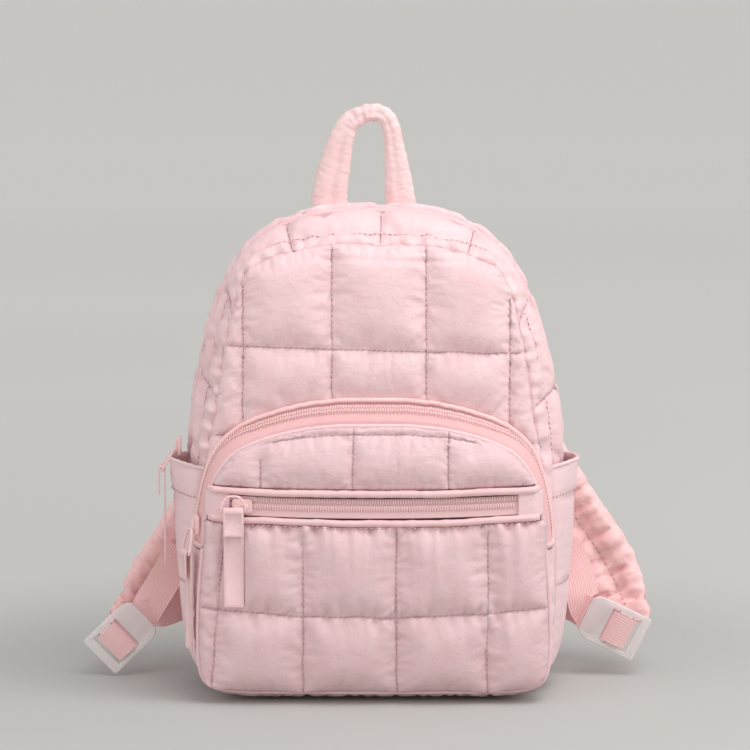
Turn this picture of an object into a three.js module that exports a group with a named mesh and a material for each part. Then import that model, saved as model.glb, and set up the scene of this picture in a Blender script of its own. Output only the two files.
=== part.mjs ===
// Quilted mini backpack standing on its base: millimetres, +Z up, front towards -Y, origin under the base.
import * as THREE from 'three';

// Driving dimensions
const gap = 0.3; // clearance between pieces that are sewn together
const frontSeamY = -38; // plane of the seam between front panel and gusset
const backSeamY = 38; // plane of the seam between rear gusset and back panel
const pocketSeamY = -60; // plane of the seam between pocket panel and zip band
const zipFrontY = -8; // front edge of the main zip
const zipRearY = 2; // rear edge of the main zip
const zipEndZ = 120; // height at which the main zip stops on both sides
const padWall = 5; // quilted wall of the main compartment
const backWall = 4;
const pocketWall = 4; // quilted wall of the front pocket
const bandWall = 2.4; // zip band and side wall of the front pocket
const clothWall = 1.5; // plain cloth of the side pockets
const tapeWall = 1.5; // zip tapes
const frontCrown = 7;
const pocketCrown = 7;
const backCrown = 3;
const baseHalfWidth = 70; // the base ends here and the gusset turns up the side
const baseFlatY = 30; // the base lies flat on the ground between -baseFlatY and baseFlatY
const baseFoot = 2; // height of the base at its front and rear seams
const weltZ = 118; // centre line of the horizontal pocket zip
const weltTapeHeight = 12;
const weltLipHeight = 4;
const weltHalfLength = 85;
const sideMouth = 6.5; // how far the side pockets stand open
const sidePocketTopZ = 140;
const sidePocketHalfDepth = 33;
const handleX = -3;
const handleY = 18;
const handleTopZ = 354;
const handleSpacing = 43; // between the centre lines of the two legs
const strapWidth = 44;
const strapThickness = 9;
const webbingWidth = 20;
const webbingThickness = 1.2;
const buckleWidth = 29;
const buckleLength = 39;
const buckleThickness = 4;
const pullTabWidth = 12;
const pullTabLength = 58;

// Colours of the finishes
const nylonPink = 0xf3cdd0;
const nylonLight = 0xf6d6d7;
const salmon = 0xf0b3b3;
const tapePink = 0xeaa5a8;
const clearPink = 0xf2c9cc;
const metalPink = 0xe9a9a6;

// Half widths of the three outlines of the bag, from the base up to the flat top
const outlineRows = [
  { bodyZ: 0, bodyHalf: 70, frontZ: 2, frontHalf: 70, backZ: 2, backHalf: 70 },
  { bodyZ: 3, bodyHalf: 94, frontZ: 5, frontHalf: 93, backZ: 5, backHalf: 89 },
  { bodyZ: 11, bodyHalf: 105.5, frontZ: 13, frontHalf: 102, backZ: 13, backHalf: 98 },
  { bodyZ: 30, bodyHalf: 111.6, frontZ: 31, frontHalf: 106.6, backZ: 31, backHalf: 102.6 },
  { bodyZ: 58, bodyHalf: 114.5, frontZ: 60, frontHalf: 108, backZ: 60, backHalf: 105 },
  { bodyZ: 95, bodyHalf: 116, frontZ: 95, frontHalf: 107.5, backZ: 95, backHalf: 106 },
  { bodyZ: 122, bodyHalf: 116, frontZ: 120, frontHalf: 104.5, backZ: 120, backHalf: 105.5 },
  { bodyZ: 140, bodyHalf: 115.6, frontZ: 138, frontHalf: 100.6, backZ: 137, backHalf: 104.5 },
  { bodyZ: 178, bodyHalf: 112.5, frontZ: 172, frontHalf: 94.5, backZ: 173, backHalf: 101 },
  { bodyZ: 213, bodyHalf: 105.6, frontZ: 205, frontHalf: 89.5, backZ: 205, backHalf: 95 },
  { bodyZ: 232, bodyHalf: 100, frontZ: 225, frontHalf: 86, backZ: 226, backHalf: 90 },
  { bodyZ: 252, bodyHalf: 92, frontZ: 244, frontHalf: 81, backZ: 246, backHalf: 82 },
  { bodyZ: 270, bodyHalf: 80, frontZ: 258, frontHalf: 74, backZ: 262, backHalf: 71 },
  { bodyZ: 285, bodyHalf: 61, frontZ: 266.5, frontHalf: 58, backZ: 275, backHalf: 53 },
  { bodyZ: 293.5, bodyHalf: 38, frontZ: 271, frontHalf: 36, backZ: 281.5, backHalf: 33 },
  { bodyZ: 296, bodyHalf: 18, frontZ: 272.5, frontHalf: 17, backZ: 283, backHalf: 16 },
];

// Arched zip band of the pocket: inner edge on the pocket panel, outer edge on the front panel
const bandRows = [
  { inZ: 94.7, inHalf: 101.5, outZ: 94.7, outHalf: 106.6 },
  { inZ: 109, inHalf: 100.6, outZ: 111, outHalf: 105 },
  { inZ: 121, inHalf: 99, outZ: 125, outHalf: 102.8 },
  { inZ: 133, inHalf: 95.5, outZ: 139, outHalf: 99.4 },
  { inZ: 145, inHalf: 88.5, outZ: 153, outHalf: 93 },
  { inZ: 153, inHalf: 79, outZ: 165, outHalf: 80 },
  { inZ: 160, inHalf: 62, outZ: 173, outHalf: 62 },
  { inZ: 165, inHalf: 40, outZ: 179, outHalf: 40 },
  { inZ: 167, inHalf: 20, outZ: 181.5, outHalf: 20 },
];

// Side wall of the pocket, from the middle of the bottom up to the ends of the zip band
const pocketSideRows = [
  { inZ: 6.8, inHalf: 72, outZ: 2.6, outHalf: 72 },
  { inZ: 8.4, inHalf: 92, outZ: 5.6, outHalf: 91 },
  { inZ: 13.5, inHalf: 101, outZ: 12.5, outHalf: 100.6 },
  { inZ: 24, inHalf: 104.2, outZ: 24, outHalf: 104.4 },
  { inZ: 44, inHalf: 104.8, outZ: 44, outHalf: 106.6 },
  { inZ: 70, inHalf: 103.8, outZ: 70, outHalf: 107 },
  { inZ: 94.4, inHalf: 101.5, outZ: 94.4, outHalf: 106.6 },
];

// The shoulder straps run from the top of the back out to the buckles
const strapRows = {
  left: [
    { x: -34, y: 49, z: 258, width: 40, thickness: strapThickness },
    { x: -52, y: 49.6, z: 218, width: strapWidth, thickness: strapThickness },
    { x: -73, y: 49.8, z: 172, width: strapWidth, thickness: strapThickness },
    { x: -94, y: 50.2, z: 126, width: strapWidth, thickness: strapThickness },
    { x: -117, y: 51.6, z: 84, width: strapWidth, thickness: strapThickness },
    { x: -138, y: 51, z: 53, width: 42, thickness: strapThickness },
    { x: -151, y: 42, z: 37, width: 32, thickness: 8 },
    { x: -157, y: 31, z: 29.5, width: 26, thickness: 6 },
    { x: -159, y: 23.4, z: 25, width: 22, thickness: 4 },
  ],
  right: [
    { x: 34, y: 49, z: 258, width: 40, thickness: strapThickness },
    { x: 52, y: 49.6, z: 218, width: strapWidth, thickness: strapThickness },
    { x: 75, y: 49.8, z: 174, width: strapWidth, thickness: strapThickness },
    { x: 100, y: 50.2, z: 136, width: strapWidth, thickness: strapThickness },
    { x: 124, y: 51.6, z: 98, width: strapWidth, thickness: strapThickness },
    { x: 145, y: 51, z: 66, width: strapWidth, thickness: strapThickness },
    { x: 154.5, y: 42, z: 48, width: 38, thickness: 8 },
    { x: 158, y: 31.5, z: 38.5, width: 31, thickness: 6.5 },
    { x: 159, y: 23.4, z: 32, width: 24, thickness: 4 },
  ],
};

// Ladder-lock buckles: centre, and the way that the thumb tab points
const buckleRows = {
  left: { x: -156.5, y: 14, z: 25, tabX: 0.72, tabZ: 0.69 },
  right: { x: 148.5, y: 14, z: 31, tabX: -0.9, tabZ: 0.44 },
};

// Webbing beyond the buckle: the run to the lower corner of the bag, and the free tail
const webbingRows = {
  left: {
    run: [
      { x: -130, y: 27, z: 39 },
      { x: -119, y: 40, z: 41 },
      { x: -110, y: 45.8, z: 43 },
      { x: -97, y: 43.9, z: 44 },
    ],
    tail: [
      { x: -139, y: 21.5, z: 45 },
      { x: -132, y: 25.5, z: 56 },
      { x: -126, y: 32, z: 66 },
      { x: -120, y: 40, z: 75 },
    ],
  },
  right: {
    run: [
      { x: 126, y: 27, z: 41 },
      { x: 118, y: 40, z: 42 },
      { x: 110, y: 45.8, z: 43 },
      { x: 97, y: 43.9, z: 44 },
    ],
    tail: [
      { x: 129.5, y: 21.5, z: 50 },
      { x: 127.5, y: 26, z: 60 },
      { x: 124, y: 32.5, z: 69 },
      { x: 119, y: 40, z: 77 },
    ],
  },
};

// Zip pulls: the eye of the tab, the way that its face turns, and the lean of its ring
const pullRows = [
  { name: 'welt', eyeX: -85, eyeZ: 115.5, turn: 0, lean: 0, ringHeight: 9 },
  { name: 'pocket', eyeX: -112.4, eyeY: -55, eyeZ: 90, turn: -70, lean: 12, ringHeight: 15 },
  { name: 'main', eyeX: -129.6, eyeY: -3, eyeZ: 133, turn: -86, lean: 33, ringHeight: 13 },
];

// Zip sliders, placed from the eye of their pull: sideways, behind it and above it
const sliderRows = {
  welt: { x: 5, behind: 2.8, up: 2.5, depth: 2.6, turn: 90 },
  pocket: { x: 0, behind: 4.2, up: 17, depth: 4.6, turn: 0 },
  main: { x: 0, behind: 8.4, up: 14, depth: 5, turn: 0 },
};

const lerp = THREE.MathUtils.lerp;
const clamp = THREE.MathUtils.clamp;

// Rows between the rows of a table, every column on a smooth curve through its values
function smoothRows(rows, stepsBetween) {
  const columns = Object.keys(rows[0]);
  const dense = [];
  for (let i = 0; i < rows.length - 1; i += 1) {
    const near = [rows[Math.max(i - 1, 0)], rows[i], rows[i + 1], rows[Math.min(i + 2, rows.length - 1)]];
    for (let k = 0; k < stepsBetween; k += 1) {
      const t = k / stepsBetween;
      const row = {};
      for (const column of columns) {
        const [a, b, c, d] = near.map((entry) => entry[column]);
        const slopeB = (c - a) / 2;
        const slopeC = (d - b) / 2;
        row[column] = b + slopeB * t + (3 * (c - b) - 2 * slopeB - slopeC) * t * t
          + (2 * (b - c) + slopeB + slopeC) * t * t * t;
      }
      dense.push(row);
    }
  }
  dense.push({ ...rows[rows.length - 1] });
  return dense;
}

// Half width of an outline at a height, between the rows of its table
function halfWidthAt(rows, zColumn, halfColumn, z) {
  const last = rows.length - 1;
  if (z <= rows[0][zColumn]) return rows[0][halfColumn];
  for (let i = 0; i < last; i += 1) {
    const low = rows[i];
    const high = rows[i + 1];
    if (z <= high[zColumn]) {
      return lerp(low[halfColumn], high[halfColumn], (z - low[zColumn]) / (high[zColumn] - low[zColumn]));
    }
  }
  return rows[last][halfColumn];
}

// A closed solid from triangles, turned so that its faces point out
function solidFrom(points, triangles) {
  let volume = 0;
  for (const [a, b, c] of triangles) {
    volume += points[a].dot(new THREE.Vector3().crossVectors(points[b], points[c]));
  }
  const index = [];
  for (const [a, b, c] of triangles) {
    index.push(a, volume > 0 ? b : c, volume > 0 ? c : b);
  }
  const geometry = new THREE.BufferGeometry();
  geometry.setAttribute('position', new THREE.Float32BufferAttribute(points.flatMap((p) => p.toArray()), 3));
  geometry.setIndex(index);
  geometry.computeVertexNormals();
  return geometry;
}

// A wall between two grids of points: both skins and the four edges
function wallSolid(outer, inner) {
  const rows = outer.length;
  const columns = outer[0].length;
  const points = [...outer.flat(), ...inner.flat()];
  const at = (skin, i, j) => skin * rows * columns + i * columns + j;
  const triangles = [];
  const quad = (a, b, c, d) => triangles.push([a, b, c], [a, c, d]);
  for (let i = 0; i < rows - 1; i += 1) {
    for (let j = 0; j < columns - 1; j += 1) {
      quad(at(0, i, j), at(0, i, j + 1), at(0, i + 1, j + 1), at(0, i + 1, j));
      quad(at(1, i, j), at(1, i + 1, j), at(1, i + 1, j + 1), at(1, i, j + 1));
    }
    quad(at(0, i, 0), at(0, i + 1, 0), at(1, i + 1, 0), at(1, i, 0));
    quad(at(0, i + 1, columns - 1), at(0, i, columns - 1), at(1, i, columns - 1), at(1, i + 1, columns - 1));
  }
  for (let j = 0; j < columns - 1; j += 1) {
    quad(at(0, 0, j + 1), at(0, 0, j), at(1, 0, j), at(1, 0, j + 1));
    quad(at(0, rows - 1, j), at(0, rows - 1, j + 1), at(1, rows - 1, j + 1), at(1, rows - 1, j));
  }
  return solidFrom(points, triangles);
}

// A solid through rings of points, with its two ends closed
function ringSolid(rings) {
  const sides = rings[0].length;
  const points = rings.flat();
  const triangles = [];
  for (let i = 0; i < rings.length - 1; i += 1) {
    for (let k = 0; k < sides; k += 1) {
      const next = (k + 1) % sides;
      const low = i * sides;
      const high = low + sides;
      triangles.push([low + k, low + next, high + next], [low + k, high + next, high + k]);
    }
  }
  const lastRing = (rings.length - 1) * sides;
  for (let k = 1; k < sides - 1; k += 1) {
    triangles.push([0, k + 1, k], [lastRing, lastRing + k, lastRing + k + 1]);
  }
  return solidFrom(points, triangles);
}

// The arch of an outline: up the left side, across the flat top and down the right side
function archPath(rows, zColumn, halfColumn, topSteps) {
  const left = rows.map((row) => new THREE.Vector2(-row[halfColumn], row[zColumn]));
  const right = rows.map((row) => new THREE.Vector2(row[halfColumn], row[zColumn])).reverse();
  const topRow = rows[rows.length - 1];
  const top = [];
  for (let k = 1; k < topSteps; k += 1) {
    top.push(new THREE.Vector2(lerp(-1, 1, k / topSteps) * topRow[halfColumn], topRow[zColumn]));
  }
  return [...left, ...top, ...right];
}

// The two paths of a band mixed, point by point
function mixPaths(from, to, share) {
  return from.map((point, k) => point.clone().lerp(to[k], share));
}

// The inward direction at a point of a path that runs clockwise; its two ends have a direction of their own
function inwardAt(path, k, endWay) {
  if (k === 0 || k === path.length - 1) return endWay(path[k]);
  const along = path[k + 1].clone().sub(path[k - 1]).normalize();
  return new THREE.Vector2(along.y, -along.x);
}

const straightUp = () => new THREE.Vector2(0, 1);
const levelIn = (point) => new THREE.Vector2(-Math.sign(point.x), 0);
const bodyRows = smoothRows(outlineRows, 2);
const topSteps = 4;
const frontArch = archPath(bodyRows, 'frontZ', 'frontHalf', topSteps);
const bodyArch = archPath(bodyRows, 'bodyZ', 'bodyHalf', topSteps);
const backArch = archPath(bodyRows, 'backZ', 'backHalf', topSteps);
const zipMiddleY = (zipFrontY + zipRearY) / 2;

// The outline of the body at a depth: it swells from each seam to its full width at the zip
function bodySection(y) {
  const forward = y < zipMiddleY;
  const seamY = forward ? frontSeamY : backSeamY;
  const share = Math.sin((Math.PI / 2) * clamp((y - seamY) / (zipMiddleY - seamY), 0, 1));
  return mixPaths(forward ? frontArch : backArch, bodyArch, share);
}

// A padded strip around the body between two depths, each a function of the place along the arch
function gussetBand(frontEdge, rearEdge, acrossSteps, wall, first, last) {
  const outer = [];
  const inner = [];
  for (let k = first; k <= last; k += 1) {
    outer.push([]);
    inner.push([]);
    for (let j = 0; j <= acrossSteps; j += 1) {
      const y = lerp(frontEdge(k), rearEdge(k), j / acrossSteps);
      const section = bodySection(y);
      const point = section[k];
      const inward = inwardAt(section, k, straightUp);
      outer[k - first].push(new THREE.Vector3(point.x, y, point.y));
      inner[k - first].push(new THREE.Vector3(point.x + inward.x * wall, y, point.y + inward.y * wall));
    }
  }
  return wallSolid(outer, inner);
}

// A panel across the bag: rows of points from side to side, crowned between its edges
function crownedPanel({ rows, zColumn, halfColumn, columns, surfaceY, wall, inward }) {
  const outer = rows.map((row) => {
    const line = [];
    for (let j = 0; j <= columns; j += 1) {
      const x = lerp(-1, 1, j / columns) * row[halfColumn];
      line.push(new THREE.Vector3(x, surfaceY(x, row[zColumn]), row[zColumn]));
    }
    return line;
  });
  const inner = outer.map((line) => line.map((p) => new THREE.Vector3(p.x, p.y + wall * inward, p.z)));
  return wallSolid(outer, inner);
}

// How far a crowned surface stands out, from 0 at its edge to 1 in the middle
function crownShare(across, up) {
  return (1 - Math.abs(clamp(across, -1, 1)) ** 3) * (1 - Math.abs(clamp(2 * up - 1, -1, 1)) ** 4);
}

function frontSurfaceY(x, z) {
  const half = halfWidthAt(bodyRows, 'frontZ', 'frontHalf', z);
  const top = bodyRows[bodyRows.length - 1].frontZ;
  return frontSeamY - gap - padWall - frontCrown * crownShare(x / half, z / top);
}

function backSurfaceY(x, z) {
  const half = halfWidthAt(bodyRows, 'backZ', 'backHalf', z);
  const top = bodyRows[bodyRows.length - 1].backZ;
  return backSeamY + gap + backWall + backCrown * crownShare(x / half, z / top);
}

// The pocket panel's outline is the inner edge of the side wall and the zip band
const pocketOutline = [...pocketSideRows.slice(0, -1), ...bandRows]
  .map((row) => ({ z: row.inZ, half: row.inHalf }));
const pocketBottomZ = pocketOutline[0].z;
const pocketTopZ = pocketOutline[pocketOutline.length - 1].z;

function pocketSurfaceY(x, z) {
  const half = halfWidthAt(pocketOutline, 'z', 'half', z);
  const up = (z - pocketBottomZ) / (pocketTopZ - pocketBottomZ);
  return pocketSeamY - gap - pocketWall - pocketCrown * crownShare(x / half, up);
}

// The part of the pocket panel between two heights, with a row at both
function pocketPanel(lowZ, highZ) {
  const dense = smoothRows(pocketOutline, 2);
  const between = dense.filter((row) => row.z > lowZ + 1 && row.z < highZ - 1);
  const edge = (z) => ({ z, half: halfWidthAt(dense, 'z', 'half', z) });
  return crownedPanel({
    rows: [edge(lowZ), ...between, edge(highZ)],
    zColumn: 'z',
    halfColumn: 'half',
    columns: 14,
    surfaceY: pocketSurfaceY,
    wall: pocketWall,
    inward: 1,
  });
}

// A wall of the pocket between its panel and the front panel, along two matching paths
function pocketBand(inPath, outPath, acrossSteps) {
  const outer = [];
  const inner = [];
  inPath.forEach((inPoint, k) => {
    const backY = frontSurfaceY(outPath[k].x, outPath[k].y) - gap;
    outer.push([]);
    inner.push([]);
    for (let j = 0; j <= acrossSteps; j += 1) {
      const section = mixPaths(inPath, outPath, j / acrossSteps);
      const inward = inwardAt(section, k, levelIn);
      const point = section[k];
      const y = lerp(pocketSeamY, backY, j / acrossSteps);
      const insideX = point.x + inward.x * bandWall;
      const insideZ = point.y + inward.y * bandWall;
      const insideY = j === acrossSteps ? frontSurfaceY(insideX, insideZ) - gap : y;
      outer[k].push(new THREE.Vector3(point.x, y, point.y));
      inner[k].push(new THREE.Vector3(insideX, insideY, insideZ));
    }
  });
  return wallSolid(outer, inner);
}

function pocketZipBand() {
  const rows = smoothRows(bandRows, 2);
  const inPath = archPath(rows, 'inZ', 'inHalf', topSteps);
  const outPath = archPath(rows, 'outZ', 'outHalf', topSteps);
  return pocketBand(inPath, outPath, 2);
}

function pocketSideWall() {
  const rows = smoothRows(pocketSideRows, 2).reverse();
  // the path goes down the right side, along the bottom and up the left side
  const inPath = archPath(rows, 'inZ', 'inHalf', topSteps).reverse();
  const outPath = archPath(rows, 'outZ', 'outHalf', topSteps).reverse();
  return pocketBand(inPath, outPath, 2);
}

// The floor of the bag, lifted a little at its front and rear seams
function basePanel() {
  const profile = [
    { y: frontSeamY, z: baseFoot },
    { y: -baseFlatY, z: 0 },
    { y: baseFlatY, z: 0 },
    { y: backSeamY, z: baseFoot },
  ];
  const columns = 4;
  const outer = profile.map((row) => {
    const line = [];
    for (let j = 0; j <= columns; j += 1) {
      const x = lerp(-1, 1, j / columns) * (baseHalfWidth - gap);
      line.push(new THREE.Vector3(x, row.y, row.z));
    }
    return line;
  });
  const inner = outer.map((line) => line.map((p) => new THREE.Vector3(p.x, p.y, p.z + padWall)));
  return wallSolid(outer, inner);
}

// A cloth pocket on one side of the body: sewn at its front, rear and bottom, and open at the top
function sidePocket(side) {
  const firstRow = bodyRows.findIndex((row) => row.bodyZ > 9);
  const lastRow = bodyRows.findIndex((row) => row.bodyZ >= sidePocketTopZ);
  const depthSteps = 8;
  const outer = [];
  const inner = [];
  for (let i = firstRow; i <= lastRow; i += 1) {
    const k = side < 0 ? i : bodyArch.length - 1 - i;
    const up = (i - firstRow) / (lastRow - firstRow);
    outer.push([]);
    inner.push([]);
    for (let j = 0; j <= depthSteps; j += 1) {
      const across = lerp(-1, 1, j / depthSteps);
      const y = across * sidePocketHalfDepth;
      const section = bodySection(y);
      const outward = inwardAt(section, k, straightUp).negate();
      const slack = gap + sideMouth * up ** 1.5 * (1 - across * across);
      const inside = section[k].clone().addScaledVector(outward, slack);
      const outside = inside.clone().addScaledVector(outward, clothWall);
      inner[i - firstRow].push(new THREE.Vector3(inside.x, y, inside.y));
      outer[i - firstRow].push(new THREE.Vector3(outside.x, y, outside.y));
    }
  }
  return wallSolid(outer, inner);
}

const sectionSides = 10;

// A flat oval ring of points across a path
function ovalRing(centre, widthWay, thickWay, width, thickness, sides) {
  const ring = [];
  for (let k = 0; k < sides; k += 1) {
    const angle = (2 * Math.PI * k) / sides;
    const across = Math.sign(Math.cos(angle)) * Math.abs(Math.cos(angle)) ** 0.6;
    const through = Math.sign(Math.sin(angle)) * Math.abs(Math.sin(angle)) ** 0.8;
    ring.push(centre.clone()
      .addScaledVector(widthWay, (across * width) / 2)
      .addScaledVector(thickWay, (through * thickness) / 2));
  }
  return ring;
}

// The grab handle: two legs and a round top, wide at its feet and narrow at the top
function grabHandle() {
  const footWidth = 20;
  const topWidth = 12.5;
  const depth = 11;
  const radius = handleSpacing / 2;
  const topColumn = Math.floor(bodyArch.length / 2);
  const footZ = bodySection(handleY - depth / 2)[topColumn].y + gap; // clear of the body under its front edge
  const archZ = handleTopZ - topWidth / 2 - radius;
  const legSteps = 5;
  const archSteps = 12;
  const rings = [];
  const addRing = (x, z, angle) => {
    const along = clamp((z - footZ) / (handleTopZ - footZ), 0, 1);
    const width = lerp(footWidth, topWidth, along);
    const outward = new THREE.Vector3(Math.cos(angle), 0, Math.sin(angle));
    const centre = new THREE.Vector3(x, handleY, z);
    rings.push(ovalRing(centre, outward, new THREE.Vector3(0, 1, 0), width, depth, sectionSides));
  };
  for (let k = 0; k < legSteps; k += 1) {
    addRing(handleX - radius, lerp(footZ, archZ, k / legSteps), Math.PI);
  }
  for (let k = 0; k <= archSteps; k += 1) {
    const angle = Math.PI * (1 - k / archSteps);
    addRing(handleX + radius * Math.cos(angle), archZ + radius * Math.sin(angle), angle);
  }
  for (let k = legSteps - 1; k >= 0; k -= 1) {
    addRing(handleX + radius, lerp(footZ, archZ, k / legSteps), 0);
  }
  return ringSolid(rings);
}

// Directions across a strap at one of its points: along its width, and through its thickness
function strapWays(points, k) {
  const next = points[Math.min(k + 1, points.length - 1)];
  const along = next.clone().sub(points[Math.max(k - 1, 0)]).normalize();
  const widthWay = new THREE.Vector3().crossVectors(along, new THREE.Vector3(0, 1, 0)).normalize();
  return { widthWay, thickWay: new THREE.Vector3().crossVectors(widthWay, along) };
}

function shoulderStrap(rows) {
  const dense = smoothRows(rows, 3);
  const points = dense.map((row) => new THREE.Vector3(row.x, row.y, row.z));
  return ringSolid(points.map((point, k) => {
    const { widthWay, thickWay } = strapWays(points, k);
    return ovalRing(point, widthWay, thickWay, dense[k].width, dense[k].thickness, sectionSides);
  }));
}

// Ladder-lock layout along the buckle, measured from its middle towards the thumb tab
const buckleLayout = {
  outerSlot: { from: -13.5, to: -8.5 },
  innerSlot: { from: 0.5, to: 5 },
  slotLength: 22.5,
  tabShoulder: 9,
  tabHalfWidth: 8.5,
  corner: 2,
};

function buckleFrame() {
  const { outerSlot, innerSlot, slotLength, tabShoulder, tabHalfWidth, corner } = buckleLayout;
  const half = buckleWidth / 2;
  const end = buckleLength / 2;
  const outline = new THREE.Shape();
  outline.moveTo(-half + corner, -end);
  outline.lineTo(half - corner, -end);
  outline.quadraticCurveTo(half, -end, half, -end + corner);
  outline.lineTo(half, tabShoulder);
  outline.quadraticCurveTo(half, end, tabHalfWidth, end);
  outline.lineTo(-tabHalfWidth, end);
  outline.quadraticCurveTo(-half, end, -half, tabShoulder);
  outline.lineTo(-half, -end + corner);
  outline.quadraticCurveTo(-half, -end, -half + corner, -end);
  for (const slot of [outerSlot, innerSlot]) {
    const hole = new THREE.Path();
    hole.moveTo(-slotLength / 2, slot.from);
    hole.lineTo(-slotLength / 2, slot.to);
    hole.lineTo(slotLength / 2, slot.to);
    hole.lineTo(slotLength / 2, slot.from);
    hole.closePath();
    outline.holes.push(hole);
  }
  const settings = { depth: buckleThickness, bevelEnabled: false, curveSegments: 4 };
  return new THREE.ExtrudeGeometry(outline, settings).translate(0, 0, -buckleThickness / 2);
}

// Directions of a buckle that faces the front: across, towards its thumb tab, and out of its face
function buckleWays(row) {
  const tabWay = new THREE.Vector3(row.tabX, 0, row.tabZ).normalize();
  const faceWay = new THREE.Vector3(0, -1, 0);
  return { acrossWay: new THREE.Vector3().crossVectors(tabWay, faceWay), tabWay, faceWay };
}

// Webbing from the bag through the buckle, over its middle bar and back out as the free tail
function webbingBand(buckleRow, rows) {
  const { tabWay, faceWay } = buckleWays(buckleRow);
  const { outerSlot, innerSlot } = buckleLayout;
  const centre = new THREE.Vector3(buckleRow.x, buckleRow.y, buckleRow.z);
  const near = buckleThickness / 2 + webbingThickness / 2 + gap;
  const far = near + webbingThickness + gap;
  const inBuckle = (along, behind) => centre.clone()
    .addScaledVector(tabWay, along)
    .addScaledVector(faceWay, -behind);
  const innerMiddle = (innerSlot.from + innerSlot.to) / 2;
  const outerMiddle = (outerSlot.from + outerSlot.to) / 2;
  const asPoint = (row) => new THREE.Vector3(row.x, row.y, row.z);
  const lean = 1.65; // the webbing goes through a slot at a slant
  const points = [
    ...rows.run.map(asPoint).reverse(),
    inBuckle(buckleLength / 2 - 1, near + 0.3),
    inBuckle(innerSlot.to + 2, near),
    inBuckle(innerMiddle + lean, near),
    inBuckle(innerMiddle, 0),
    inBuckle(innerMiddle - lean, -near),
    inBuckle(outerMiddle + lean, -near),
    inBuckle(outerMiddle, 0),
    inBuckle(outerMiddle, near),
    inBuckle(outerMiddle + lean, far),
    inBuckle(innerSlot.to + 2, far + 0.3),
    inBuckle(buckleLength / 2 - 1, far + 1.2),
    ...rows.tail.map(asPoint),
  ];
  return webbingAlong(points, rows.run.length, rows.tail.length, tabWay);
}

// A flat band along points; in the buckle its width lies along the slots
function webbingAlong(points, runRows, tailRows, tabWay) {
  const alongSlots = new THREE.Vector3().crossVectors(tabWay, new THREE.Vector3(0, -1, 0));
  const last = points.length - 1;
  const rings = points.map((point, k) => {
    const along = points[Math.min(k + 1, last)].clone().sub(points[Math.max(k - 1, 0)]).normalize();
    const inBuckle = k >= runRows && k <= last - tailRows;
    const across = new THREE.Vector3().crossVectors(along, new THREE.Vector3(0, 1, 0)).normalize();
    if (across.dot(alongSlots) < 0) across.negate();
    const widthWay = inBuckle ? alongSlots : across;
    const thickWay = new THREE.Vector3().crossVectors(widthWay, along).normalize();
    const corner = (w, t) => point.clone()
      .addScaledVector(widthWay, (w * webbingWidth) / 2)
      .addScaledVector(thickWay, (t * webbingThickness) / 2);
    return [corner(-1, -1), corner(1, -1), corner(1, 1), corner(-1, 1)];
  });
  return ringSolid(rings);
}

// A pull tab: a strip folded over the wire of its ring, with a long rear leg and a short front leg
function pullTab() {
  const eye = 1.15;
  const ply = 1.2;
  const frontLeg = 15;
  const outer = eye + ply;
  const profile = new THREE.Shape();
  profile.moveTo(eye, -pullTabLength);
  profile.lineTo(outer, -pullTabLength);
  profile.lineTo(outer, 0);
  profile.absarc(0, 0, outer, 0, Math.PI, false);
  profile.lineTo(-outer, -frontLeg);
  profile.lineTo(-eye, -frontLeg);
  profile.lineTo(-eye, 0);
  profile.absarc(0, 0, eye, Math.PI, 0, true);
  profile.lineTo(eye, -pullTabLength);
  const settings = { depth: pullTabWidth, bevelEnabled: false, curveSegments: 6 };
  // the profile lies in the plane of depth and height, and its width runs along X
  return new THREE.ExtrudeGeometry(profile, settings)
    .translate(0, 0, -pullTabWidth / 2)
    .rotateX(Math.PI / 2)
    .rotateZ(Math.PI / 2);
}

// A wire ring with its lower wire at the origin
function pullRing(height) {
  const wire = 1.4;
  const shoulder = 3.4; // the sides are upright around the tab and lean in above it
  const outHalf = pullTabWidth / 2 + gap + wire;
  const topHalf = outHalf / 2;
  // the outline of the ring, moved in by a distance
  const trace = (path, inset) => {
    path.moveTo(-outHalf + inset, -wire / 2 + inset);
    path.lineTo(outHalf - inset, -wire / 2 + inset);
    path.lineTo(outHalf - inset, shoulder);
    path.lineTo(topHalf - inset / 2, height - inset);
    path.lineTo(-topHalf + inset / 2, height - inset);
    path.lineTo(-outHalf + inset, shoulder);
    path.closePath();
    return path;
  };
  const frame = trace(new THREE.Shape(), 0);
  frame.holes.push(trace(new THREE.Path(), wire));
  return new THREE.ExtrudeGeometry(frame, { depth: wire, bevelEnabled: false })
    .translate(0, 0, -wire / 2)
    .rotateX(Math.PI / 2);
}

// A zip slider: a shield, round at the top and narrow at its tail
function zipSlider(depth) {
  const halfLength = 5;
  const halfWidth = 4;
  const tailHalfWidth = 2.6;
  const shoulder = 1;
  const shield = new THREE.Shape();
  shield.moveTo(-tailHalfWidth, -halfLength);
  shield.lineTo(tailHalfWidth, -halfLength);
  shield.lineTo(halfWidth, shoulder);
  shield.quadraticCurveTo(halfWidth, halfLength, 0, halfLength);
  shield.quadraticCurveTo(-halfWidth, halfLength, -halfWidth, shoulder);
  shield.closePath();
  const settings = { depth, bevelEnabled: false, curveSegments: 4 };
  return new THREE.ExtrudeGeometry(shield, settings).rotateX(Math.PI / 2);
}

const backpack = new THREE.Group();

function addPiece(parent, name, geometry, color, roughness = 0.8, metalness = 0) {
  const material = new THREE.MeshStandardMaterial({ color, roughness, metalness });
  const mesh = new THREE.Mesh(geometry, material);
  mesh.name = name;
  parent.add(mesh);
  return mesh;
}

// Main compartment
const lastColumn = bodyArch.length - 1;
const aboveZipEnd = (k) => bodyArch[k].y >= zipEndZ;
const firstZipColumn = bodyArch.findIndex((point, k) => aboveZipEnd(k));
const frontGussetRear = (k) => (aboveZipEnd(k) ? zipFrontY : zipMiddleY - gap / 2);
const rearGussetFront = (k) => (aboveZipEnd(k) ? zipRearY : zipMiddleY + gap / 2);

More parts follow.
